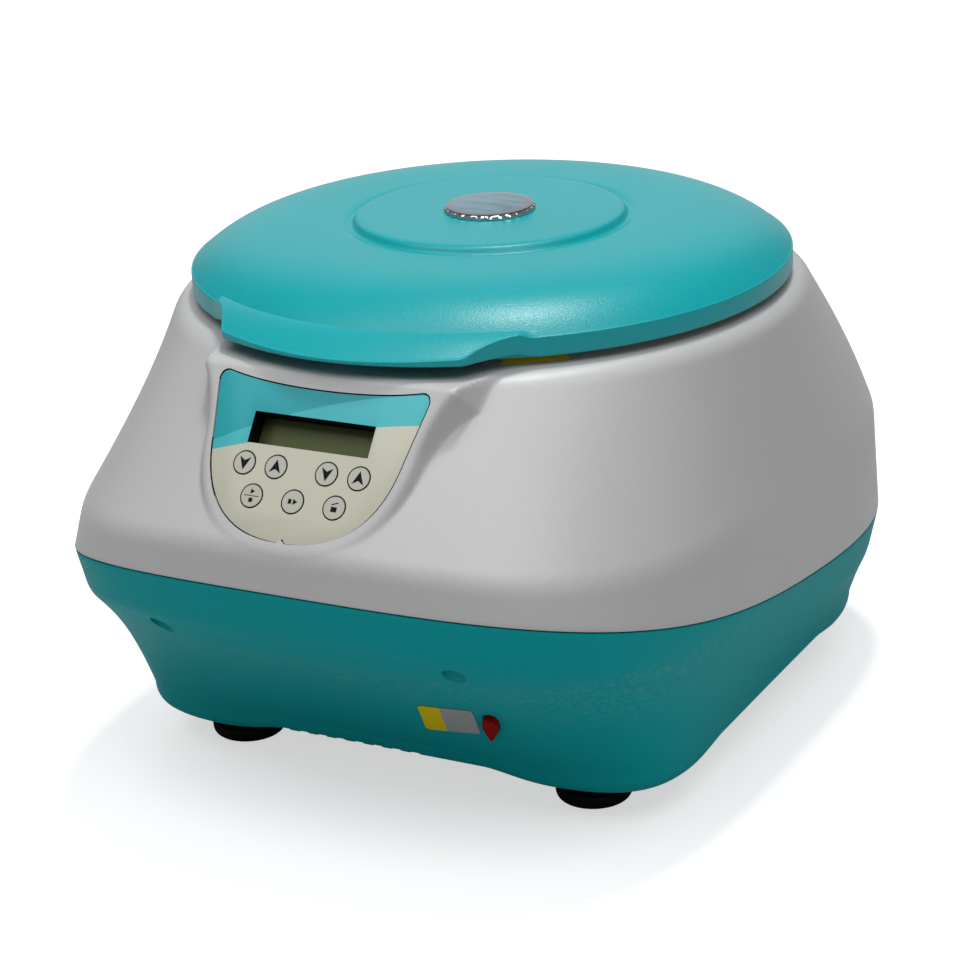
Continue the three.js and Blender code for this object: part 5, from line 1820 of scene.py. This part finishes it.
@dataclass
class Chamber:
    """The steel bowl, its rubber gasket and the shaft seal."""

    form: BodyForm = BodyForm()
    bowl_radius: float = 125.0
    bowl_wall: float = 1.2
    bowl_floor: float = 114.5
    bowl_corner: float = 15.0
    bowl_hole: float = 16.0
    flange_radius: float = 137.0
    flange_top: float = 220.2
    gasket_leg: float = 3.4
    gasket_rise: float = 3.5
    gasket_lap: float = 2.5
    seal_radius: float = 24.0
    seal_hole: float = 7.5
    seal_height: float = 4.2
    mouth_chamfer: float = 0.8
    fit: float = 0.3

    def build_bowl(self) -> bpy.types.Object:
        """Makes the bowl with a round corner and a rolled flange."""
        wall, corner, inner, high = self.bowl_wall, self.bowl_corner, self.bowl_radius, self.bowl_floor
        outer, low, top = inner + wall, high - wall, self.flange_top
        side = (inner, high + corner)
        profile = [
            (self.bowl_hole, low), *bend((outer - corner, low), (outer, low), (outer, low + corner), 8),
            (outer, low + corner), (outer, top - wall), (self.flange_radius, top - wall),
            (self.flange_radius, top), (inner + self.mouth_chamfer, top), (inner, top - self.mouth_chamfer),
            side, *bend(side, (inner, high), (inner - corner, high), 8)[1:],
            (inner - corner, high), (self.bowl_hole, high)]
        return smoothed(turned("chamber_steel_bowl", profile, 144, True))

    def build_gasket(self) -> bpy.types.Object:
        """Makes the gasket round the opening."""
        outer = self.form.opening_radius - self.fit
        deck = self.form.deck_height
        low, seat, high = deck - self.form.wall, deck + self.fit, deck + self.gasket_rise
        profile = softened([
            (outer - self.gasket_leg, low), (outer, low), (outer, seat),
            (self.form.opening_radius + self.gasket_lap, seat), (outer, high),
            (outer - self.gasket_leg, high)], 0.45, 3)
        return smoothed(turned("chamber_rubber_gasket", profile, 160, True), 40)

    def build_seal(self) -> bpy.types.Object:
        """Makes the shaft seal on the bowl's floor."""
        low = self.bowl_floor + self.fit
        high = low + self.seal_height
        profile = softened([
            (self.seal_hole, low), (self.seal_radius, low), (self.seal_radius, low + self.seal_height / 3),
            (self.bowl_hole, high), (self.seal_hole, high)], 0.4, 2)
        return smoothed(turned("shaft_rubber_seal", profile, 64, True), 40)


@dataclass
class RotorHead:
    """The angle rotor with its tube bores, and the nut that holds it."""

    tubes: int = 12
    tube_radius: float = 8.7
    tube_tilt: float = math.radians(35)
    tube_depth: float = 64.0
    tube_circle: float = 62.0
    bore: float = 6.3
    radius: float = 112.0
    bottom: float = 122.0
    top: float = 184.0
    hub_top: float = 162.0
    dish_inner: float = 28.0
    top_inner: float = 48.0
    top_outer: float = 76.0
    edge_top: float = 152.0
    edge_bottom: float = 136.0
    foot: float = 98.0
    nut_radius: float = 14.0
    nut_height: float = 17.7
    nut_chamfer: float = 3.0
    nut_bore_depth: float = 11.7
    nut_lift: float = 0.3
    nut_edge_share: float = 0.3
    nut_flutes: int = 16
    nut_flute_depth: float = 0.7

    def build_rotor(self) -> bpy.types.Object:
        """Makes the rotor and drills its bores."""
        corners = [
            (self.bore, self.bottom), (self.foot, self.bottom), (self.radius, self.edge_bottom),
            (self.radius, self.edge_top), (self.top_outer, self.top), (self.top_inner, self.top),
            (self.dish_inner, self.hub_top), (self.bore, self.hub_top)]
        piece = turned("rotor_head", softened(corners, 1.6, 4), 144, True)
        lean = Matrix.Rotation(-self.tube_tilt, 4, "Y")
        tools = []
        for index in range(self.tubes):
            turn = Matrix.Rotation(2 * math.pi * index / self.tubes, 4, "Z")
            tools.append(self._drill(turn @ Matrix.Translation((self.tube_circle, 0, self.top)) @ lean))
        carve(piece, tools)
        return smoothed(piece)

    def _drill(self, middle: Matrix) -> bpy.types.Object:
        """A round-ended drill at one bore's place."""
        radius, depth = self.tube_radius, self.tube_depth
        side = (radius, radius - depth)
        profile = [*bend((0.0, -depth), (radius, -depth), side, 6), side, (radius, 2 * radius),
                   (0.0, 2 * radius)]
        return turned("drill", profile, 32, place=lambda points: np.array(
            [[tuple(middle @ Vector(point)) for point in ring] for ring in points]))

    def build_nut(self) -> bpy.types.Object:
        """Makes the fluted nut."""
        low = self.hub_top + self.nut_lift
        high, deep = low + self.nut_height, low + self.nut_bore_depth
        radius, chamfer, edge = self.nut_radius, self.nut_chamfer, self.nut_chamfer * self.nut_edge_share
        profile = [(0, deep), (self.bore, deep), (self.bore, low), (radius, low), (radius, high - chamfer),
                   (radius - edge, high - edge), (radius - chamfer, high), (0, high)]
        sides = self.nut_flutes * 8
        wave = self.nut_flute_depth * np.maximum(0, np.cos(circle(sides) * self.nut_flutes))
        return smoothed(turned("rotor_fluted_nut", profile, sides, wave=wave, wave_from=radius - chamfer / 2))


# Feet, fittings and trim


@dataclass
class Feet:
    """Four round rubber feet, turned once and copied."""

    radius: float = 18.8
    height: float = 8.0
    neck: float = 14.0
    top: float = 16.7
    side: float = 98.0
    reach: float = 103.0
    bottom_round: float = 4.6
    bottom_pull: tuple[float, float] = (0.4, 0.3)
    top_round: float = 1.6

    def build(self) -> list[tuple[bpy.types.Object, str]]:
        """Makes the feet, each with the node it stands for."""
        radius, height = self.radius, self.height
        inset, rise = self.bottom_pull
        ledge = (radius - self.top_round, height)
        profile = [
            (0.0, 0.0), *bend((radius - self.bottom_round, 0.0), (radius - inset, rise),
                              (radius, self.bottom_round), 8),
            *bend((radius, height - self.top_round), (radius, height), ledge, 5), ledge,
            (self.neck, height), (self.neck, self.top), (0.0, self.top)]
        first = smoothed(turned("rubber_foot_front_left", profile, 72, centre=(-self.side, -self.reach)))
        feet = [(first, "foot_front_left")]
        for name, across, along in (("front_right", 2, 0), ("rear_left", 0, 2), ("rear_right", 2, 2)):
            offset = (across * self.side, along * self.reach, 0)
            feet.append((copied(first, f"rubber_foot_{name}", offset), f"foot_{name}"))
        return feet


@dataclass
class SoftenedFitting:
    """A plain fitting of the frame with its edges broken, as a moulding or a stamping has them."""

    node: str
    name: str
    width: float
    segments: int = 2

    def build(self, nodes: dict[str, bpy.types.Object]) -> bpy.types.Object:
        """Copies the node, merges its triangles into faces and rounds the edges.

        Args:
            nodes: The frame's nodes.

        Returns:
            The new piece.
        """
        pick(nodes[self.node])
        bpy.ops.object.duplicate()
        piece = bpy.context.active_object
        bpy.ops.object.parent_clear(type="CLEAR_KEEP_TRANSFORM")
        piece.name = self.name
        bpy.ops.object.mode_set(mode="EDIT")
        bpy.ops.mesh.select_mode(type="VERT")
        bpy.ops.mesh.select_all(action="SELECT")
        bpy.ops.mesh.remove_doubles(threshold=WELD)
        bpy.ops.mesh.select_all(action="SELECT")
        bpy.ops.mesh.dissolve_limited(angle_limit=math.radians(1.0))
        rest()
        rounded(piece, self.width, self.segments, 25)
        return smoothed(piece, 40)


@dataclass
class BarePlate:
    """The small two-coloured plate on the front of the tub, left bare."""

    tub: LowerHousing = field(default_factory=LowerHousing)
    top_left: tuple[float, float] = (-76.3, 68.1)
    top_right: tuple[float, float] = (-67.7, 70.7)
    low_left: tuple[float, float] = (-76.9, 47.2)
    low_right: tuple[float, float] = (-67.0, 51.0)
    thick: float = 0.35
    gap: float = 0.05
    corner: float = 2.2
    tone_share: float = 0.41
    columns: int = 12
    rows: int = 8

    def point(self, across: float, up: float) -> np.ndarray:
        """A point on the wall, by its share across and up the plate."""
        corners = np.array([[self.low_left, self.low_right], [self.top_left, self.top_right]])
        side = corners[:, 0] + (corners[:, 1] - corners[:, 0]) * across
        angle, height = side[0] + (side[1] - side[0]) * up
        spot, normal = self.tub.wall_point(math.radians(angle), height)
        return spot + normal * self.gap

    def build(self) -> bpy.types.Object:
        """Makes the plate as a thin sheet that follows the wall."""
        rest()
        bpy.ops.mesh.primitive_grid_add(x_subdivisions=self.columns, y_subdivisions=self.rows, size=1.0)
        piece = bpy.context.active_object
        piece.name = "bare_plate"
        bpy.ops.object.mode_set(mode="EDIT")
        bpy.ops.mesh.select_mode(type="VERT")
        bpy.ops.mesh.select_all(action="DESELECT")
        mesh = bmesh.from_edit_mesh(piece.data)
        for vert in mesh.verts:
            across, up = vert.co.x + 0.5, vert.co.y + 0.5
            vert.co = framed(self.point(across, up))
            vert.select = len(vert.link_faces) == 1
        bmesh.update_edit_mesh(piece.data)
        bpy.ops.mesh.bevel(affect="VERTICES", offset=self.corner * MM, segments=4)
        bpy.ops.mesh.select_all(action="SELECT")
        bpy.ops.mesh.normals_make_consistent(inside=False)
        rest()
        pick(piece)
        modifier = piece.modifiers.new("sheet", "SOLIDIFY")
        modifier.thickness = self.thick * MM
        modifier.offset = self._outward_offset(piece)
        bpy.ops.object.modifier_apply(modifier=modifier.name)
        return smoothed(piece)

    def _outward_offset(self, piece: bpy.types.Object) -> float:
        """1 where the sheet's faces already look out of the tub, else -1."""
        angle, height = self.top_left
        _, normal = self.tub.wall_point(math.radians(angle), height)
        return 1.0 if piece.data.polygons[0].normal.dot(Vector(normal)) > 0 else -1.0

    def finish(self) -> TwoToneLabel:
        """The plate's finish."""
        return TwoToneLabel("plate_two_tone", ink(214, 190, 8), ink(152, 155, 154), self.tone_share)


@dataclass
class YellowStrip:
    """The yellow strip on the deck under the lid's rim."""

    deck: float = 223.5
    inner: float = 136.0
    outer: float = 143.8
    thick: float = 0.4
    gap: float = 0.02
    start: float = math.radians(-61.0)
    end: float = math.radians(-48.5)

    def build(self) -> bpy.types.Object:
        """Makes the strip as a thin piece of a ring."""
        angle = np.linspace(self.start, self.end, 14)
        way = pair(np.cos(angle), np.sin(angle))
        outline = np.concatenate([self.inner * way, (self.outer * way)[::-1]])
        return smoothed(prism("yellow_strip", outline, self.deck + self.gap, self.deck + self.thick))


# Studio


@dataclass(frozen=True)
class SoftLight:
    """A square soft light that looks at the object, in metres and watts."""

    name: str
    place: Place
    size: float
    power: float
    aim: Place = (0, 0, 0.13)

    def build(self) -> None:
        """Adds the light."""
        rest()
        bpy.ops.object.light_add(type="AREA", location=self.place)
        lamp = bpy.context.active_object
        lamp.name = self.name
        lamp.data.energy = self.power
        lamp.data.size = self.size
        lamp.rotation_euler = (Vector(self.aim) - Vector(self.place)).to_track_quat("-Z", "Y").to_euler()


@dataclass
class Studio:
    """The floor, the soft lights, the white surroundings and the camera."""

    lights: tuple[SoftLight, ...] = (
        SoftLight("overhead", (0.02, 0.45, 2.6), 0.35, 31.0),
        SoftLight("front_left", (-0.8, -1.0, 2.7), 1.9, 27.0),
        SoftLight("front_right", (1.2, -0.95, 2.7), 1.9, 31.0),
        SoftLight("rear", (-1.1, 2.1, 0.95), 2.2, 7.0),
    )
    floor_grey: Colour = (0.6, 0.6, 0.6)
    fill: Colour = (0.17, 0.173, 0.18)
    camera_place: Place = (0.65888, -1.22332, 0.63760)
    azimuth: float = math.radians(28.454)
    elevation: float = math.radians(20.450)
    roll: float = math.radians(2.69)
    lens: float = 109.04
    sensor: float = 36.0
    floor_size: float = 14.0

    def build(self) -> None:
        """Sets up everything that isn't the object."""
        self._floor()
        self._surroundings()
        for light in self.lights:
            light.build()
        self._camera()

    def _seen(self, recipe: Recipe) -> Signal:
        """1 for rays from the camera, straight or through clear plastic, and 0 for the rest."""
        rays = recipe.node("ShaderNodeLightPath").outputs
        return Signal(recipe, rays["Is Camera Ray"]) + Signal(recipe, rays["Is Transmission Ray"])

    def _floor(self) -> None:
        """A plain pale floor that looks white to the camera and keeps the shadow."""
        rest()
        bpy.ops.mesh.primitive_plane_add(size=self.floor_size, location=(0, 0, 0))
        floor = bpy.context.active_object
        floor.name = "floor"
        recipe = Recipe("floor_white")
        matt = recipe.node("ShaderNodeBsdfDiffuse", {}, {"Color": self.floor_grey})
        bright = recipe.node("ShaderNodeEmission", {},
                             {"Color": self.floor_grey, "Strength": self._seen(recipe)})
        both = recipe.node("ShaderNodeAddShader", {}, {0: matt.outputs[0], 1: bright.outputs[0]})
        recipe.node("ShaderNodeOutputMaterial", {}, {"Surface": both.outputs[0]})
        floor.data.materials.append(recipe.owner)
        floor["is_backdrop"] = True

    def _surroundings(self) -> None:
        """White for the camera, also through clear plastic, and a soft even fill for the rest."""
        recipe = Recipe("studio", world=True)
        bpy.context.scene.world = recipe.owner
        background = recipe.node("ShaderNodeBackground", {},
                                 {"Color": recipe.blend(self._seen(recipe), self.fill, WHITE)})
        recipe.node("ShaderNodeOutputWorld", {}, {"Surface": background.outputs[0]})

    def _camera(self) -> None:
        """Adds the camera at the photograph's viewing angle."""
        rest()
        bpy.ops.object.camera_add(location=self.camera_place)
        camera = bpy.context.active_object
        forward = Vector((-math.sin(self.azimuth) * math.cos(self.elevation),
                          math.cos(self.azimuth) * math.cos(self.elevation), -math.sin(self.elevation)))
        level = forward.cross(Vector((0, 0, 1))).normalized()
        upright = level.cross(forward)
        right = level * math.cos(self.roll) - upright * math.sin(self.roll)
        upward = level * math.sin(self.roll) + upright * math.cos(self.roll)
        turn = Matrix((right, upward, -forward)).transposed()
        camera.matrix_world = Matrix.Translation(self.camera_place) @ turn.to_4x4()
        camera.data.lens = self.lens
        camera.data.sensor_width = self.sensor
        camera.data.sensor_fit = "HORIZONTAL"
        bpy.context.scene.camera = camera


# Finishes in use

PANEL = PanelPlane()
PEARL = PearlPaint("pearl_lacquer", ink(187, 187, 187), ink(226, 226, 232), 0.42)
TURQUOISE = MouldedPlastic("lid_turquoise", ink(0, 157, 163), 0.34, relief=0.12, sheen=0.38)
# The tub's turquoise, with pale dust and a painted reflection of the floor below its band.
TUB = DustAndReflectionMoulding("tub_turquoise", ink(0, 151, 155), ink(102, 156, 150))
LINER = MouldedPlastic("liner_white", ink(226, 226, 222), 0.5, 0.03)
STEEL = Metal("drawn_steel", ink(196, 198, 202), 0.26, (1.0, 1.0, 12.0))
BRIGHT = Metal("bright_plating", ink(214, 216, 220), 0.12, EVEN, 2.0, 0.004)
FITTING = Metal("stamped_steel", ink(176, 178, 182), 0.36, (1.0, 8.0, 1.0))
SHEET = Metal("zinc_sheet", ink(150, 153, 157), 0.45, EVEN, 3.0)
ALLOY = Metal("turned_alloy", ink(186, 188, 192), 0.34, (1.0, 1.0, 14.0))
COPPER = Metal("lacquered_windings", ink(150, 98, 60), 0.42, (1.0, 1.0, 6.0), 1.0, 0.05)
RUBBER = Rubber("black_rubber", ink(10, 10, 11))
BLACK = MouldedPlastic("black_moulding", ink(24, 25, 27), 0.42, 0.15, 0.8)
# Near-black, darker than the black moulding: painted shade on the display bezel and on the housing's pocket
# and window walls.
SHADOW_BLACK = MouldedPlastic("painted_shadow_black", ink(9, 9, 10), 0.5, 0.1, 0.8, sheen=0.1)
RED = MouldedPlastic("red_moulding", ink(136, 7, 3), 0.42, 0.06, 1.0, sheen=0.04)
BOARD = MouldedPlastic("board_lacquer", ink(30, 92, 56), 0.35, 0.18, 1.6, 0.5)
CLEAR = ClearMoulding("milky_moulding", ink(102, 136, 150), ink(130, 124, 124), (0.0, AXIS_REACH * MM, 0.0))
YELLOW = MouldedPlastic("yellow_tape", ink(255, 228, 8), 0.4, 0.05)
# Dark ink for the printed signs, also put on cut edges and key sides as painted shade.
SIGN_INK_AND_SHADE = Ink("sign_ink_and_painted_shade", ink(10, 11, 16))
KEY_CAP = MouldedPlastic("key_cap", ink(184, 183, 170), 0.4, 0.03, 0.7)
OVERLAY = PrintedOverlay("printed_overlay", ink(196, 195, 178), ink(0, 155, 165), ink(62, 178, 186),
                         PANEL.origin, PANEL.downward)
# The display glass, with painted shade at its left and top edges.
GLASS = DisplayGlass("display_glass", ink(96, 105, 64), PANEL.origin, PANEL.downward,
                     half=ControlPanel.display_half, middle=26.0)

PLAIN_NODES = (
    (STEEL, Slot.STEEL, ("screw_front_left", "screw_front_right", "screw_rear_left", "screw_rear_right",
                         "bearing_bottom", "bearing_top", "drive_shaft")),
    (SHEET, Slot.SHEET, ("base_plate", "motor_can", "motor_plate")),
    (ALLOY, Slot.ALLOY, ("motor_end_cap",)),
    (RUBBER, Slot.RUBBER, ("damper_rear", "damper_left", "damper_right")),
    (BOARD, Slot.BOARD, ("control_board", "power_board")),
    (COPPER, Slot.COPPER, ("motor_armature", "lock_solenoid")),
    (SHADOW_BLACK, Slot.BLACK, ("lcd_bezel",)),
    (GLASS, Slot.OLIVE, ("lcd_glass",)),
    (BRIGHT, Slot.CHROME, ("hinge_pin_left", "hinge_pin_right")),
)

SOFTENED_FITTINGS = (
    ("latch_hook", "latch_steel_hook", 0.5, Body.LID, Slot.STEEL, FITTING),
    ("hinge_arm_left", "left_hinge_strap", 0.4, Body.LID, Slot.STEEL, FITTING),
    ("hinge_arm_right", "right_hinge_strap", 0.4, Body.LID, Slot.STEEL, FITTING),
    ("hinge_bracket_left", "left_hinge_bracket", 0.4, Body.HOUSING, Slot.STEEL, FITTING),
    ("hinge_bracket_right", "right_hinge_bracket", 0.4, Body.HOUSING, Slot.STEEL, FITTING),
    ("lock_housing", "lock_black_housing", 0.5, Body.HOUSING, Slot.BLACK, BLACK),
    ("lock_pawl", "lock_steel_pawl", 0.5, Body.PAWL, Slot.STEEL, FITTING),
    ("rear_plate", "rear_black_plate", 0.3, Body.HOUSING, Slot.BLACK, BLACK),
    ("power_inlet", "power_inlet_moulding", 0.35, Body.HOUSING, Slot.BLACK, BLACK),
    ("fuse_holder", "fuse_cap", 0.4, Body.HOUSING, Slot.BLACK, BLACK),
    ("switch_body", "switch_frame", 0.4, Body.HOUSING, Slot.BLACK, BLACK),
    ("switch_rocker", "switch_red_rocker", 0.5, Body.ROCKER, Slot.RED, RED),
)


def dress_plain_nodes(nodes: dict[str, bpy.types.Object]) -> None:
    """Gives the frame's own nodes that stay in sight their finishes.

    Args:
        nodes: The frame's nodes.
    """
    for finish, slot, names in PLAIN_NODES:
        material = finish.material()
        for name in names:
            for place in nodes[name].material_slots:
                place.material = material
            log.info("%s: %s", name, slot.value)


def build_housings() -> None:
    """Makes both housings, the plug and the overlay with its keys."""
    controls = ControlPanel()
    tub = LowerHousing()
    plug = ReleasePlug()
    shell = UpperHousing()
    upper = fit_out(shell.build(controls), Body.HOUSING, Slot.PEARL, PEARL, "upper_housing")
    # Painted shade: the pearl housing's pocket and window walls take the near-black finish.
    accent(upper, SHADOW_BLACK, shell.painted_shade_walls)
    fit_out(tub.build(plug), Body.HOUSING, Slot.BASE, TUB, "lower_housing")
    fit_out(plug.build(), Body.PLUG, Slot.RED, RED, "release_plug")
    overlay = fit_out(controls.build_overlay(), Body.HOUSING, Slot.MEMBRANE, OVERLAY, "panel_membrane")
    # Painted shade: the overlay's cut edges take the dark ink.
    accent(overlay, SIGN_INK_AND_SHADE, controls.painted_shade_edges)
    for key in KEYS:
        cap = fit_out(controls.build_key(key), key.node, Slot.MEMBRANE, KEY_CAP, key.node)
        # Painted shade: the key cap's sides and back take the dark ink.
        accent(cap, SIGN_INK_AND_SHADE, controls.painted_shade_edges)
        fit_out(controls.build_sign(key), key.node, Slot.BLACK, SIGN_INK_AND_SHADE)


def build_lid() -> None:
    """Makes the lid with its liner and window."""
    lid = Lid()
    window = Window()
    fit_out(lid.build_shell(), Body.LID, Slot.TURQUOISE, TURQUOISE, "lid_shell")
    fit_out(lid.build_liner(), Body.LID, Slot.LINER, LINER, "lid_liner")
    fit_out(window.build_ring(), Body.LID, Slot.CHROME, BRIGHT, "window_ring")
    fit_out(window.build_lens(), Body.LID, Slot.CLEAR, CLEAR, "window_lens")


def build_chamber() -> None:
    """Makes the bowl, gasket, seal, rotor and nut."""
    chamber = Chamber()
    head = RotorHead()
    fit_out(chamber.build_bowl(), Body.HOUSING, Slot.STEEL, STEEL, "chamber_bowl")
    fit_out(chamber.build_gasket(), Body.HOUSING, Slot.RUBBER, RUBBER, "chamber_gasket")
    fit_out(chamber.build_seal(), Body.HOUSING, Slot.RUBBER, RUBBER, "shaft_seal")
    fit_out(head.build_rotor(), Body.ROTOR, Slot.ALLOY, ALLOY, "rotor")
    fit_out(head.build_nut(), Body.ROTOR, Slot.BLACK, BLACK, "rotor_nut")


def build_trim(nodes: dict[str, bpy.types.Object]) -> None:
    """Makes the feet, the fittings and the small trim.

    Args:
        nodes: The frame's nodes.
    """
    for foot, node in Feet().build():
        fit_out(foot, Body.HOUSING, Slot.RUBBER, RUBBER, node)
    for node, name, width, body, slot, finish in SOFTENED_FITTINGS:
        fit_out(SoftenedFitting(node, name, width).build(nodes), body, slot, finish, node)
    plate = BarePlate()
    fit_out(plate.build(), Body.HOUSING, Slot.SHEET, plate.finish())
    fit_out(YellowStrip().build(), Body.HOUSING, Slot.LINER, YELLOW)


def plain(box: Iterable[Iterable[float]]) -> list[list[float]]:
    """A box's corners as plain lists of numbers."""
    return [[float(value) for value in corner] for corner in box]


def main() -> None:
    """Builds the classes in order and measures the model's box before and after."""
    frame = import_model()
    solid_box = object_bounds()
    bpy.context.scene.view_settings.view_transform = "Standard"
    Studio().build()
    dress_plain_nodes(frame["nodes"])
    build_housings()
    build_lid()
    build_chamber()
    build_trim(frame["nodes"])
    rest()
    boxes = {"solids": plain(solid_box), "dressed": plain(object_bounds())}


if __name__ == "__main__":
    logging.basicConfig(level=logging.INFO, format="%(message)s")
    main()
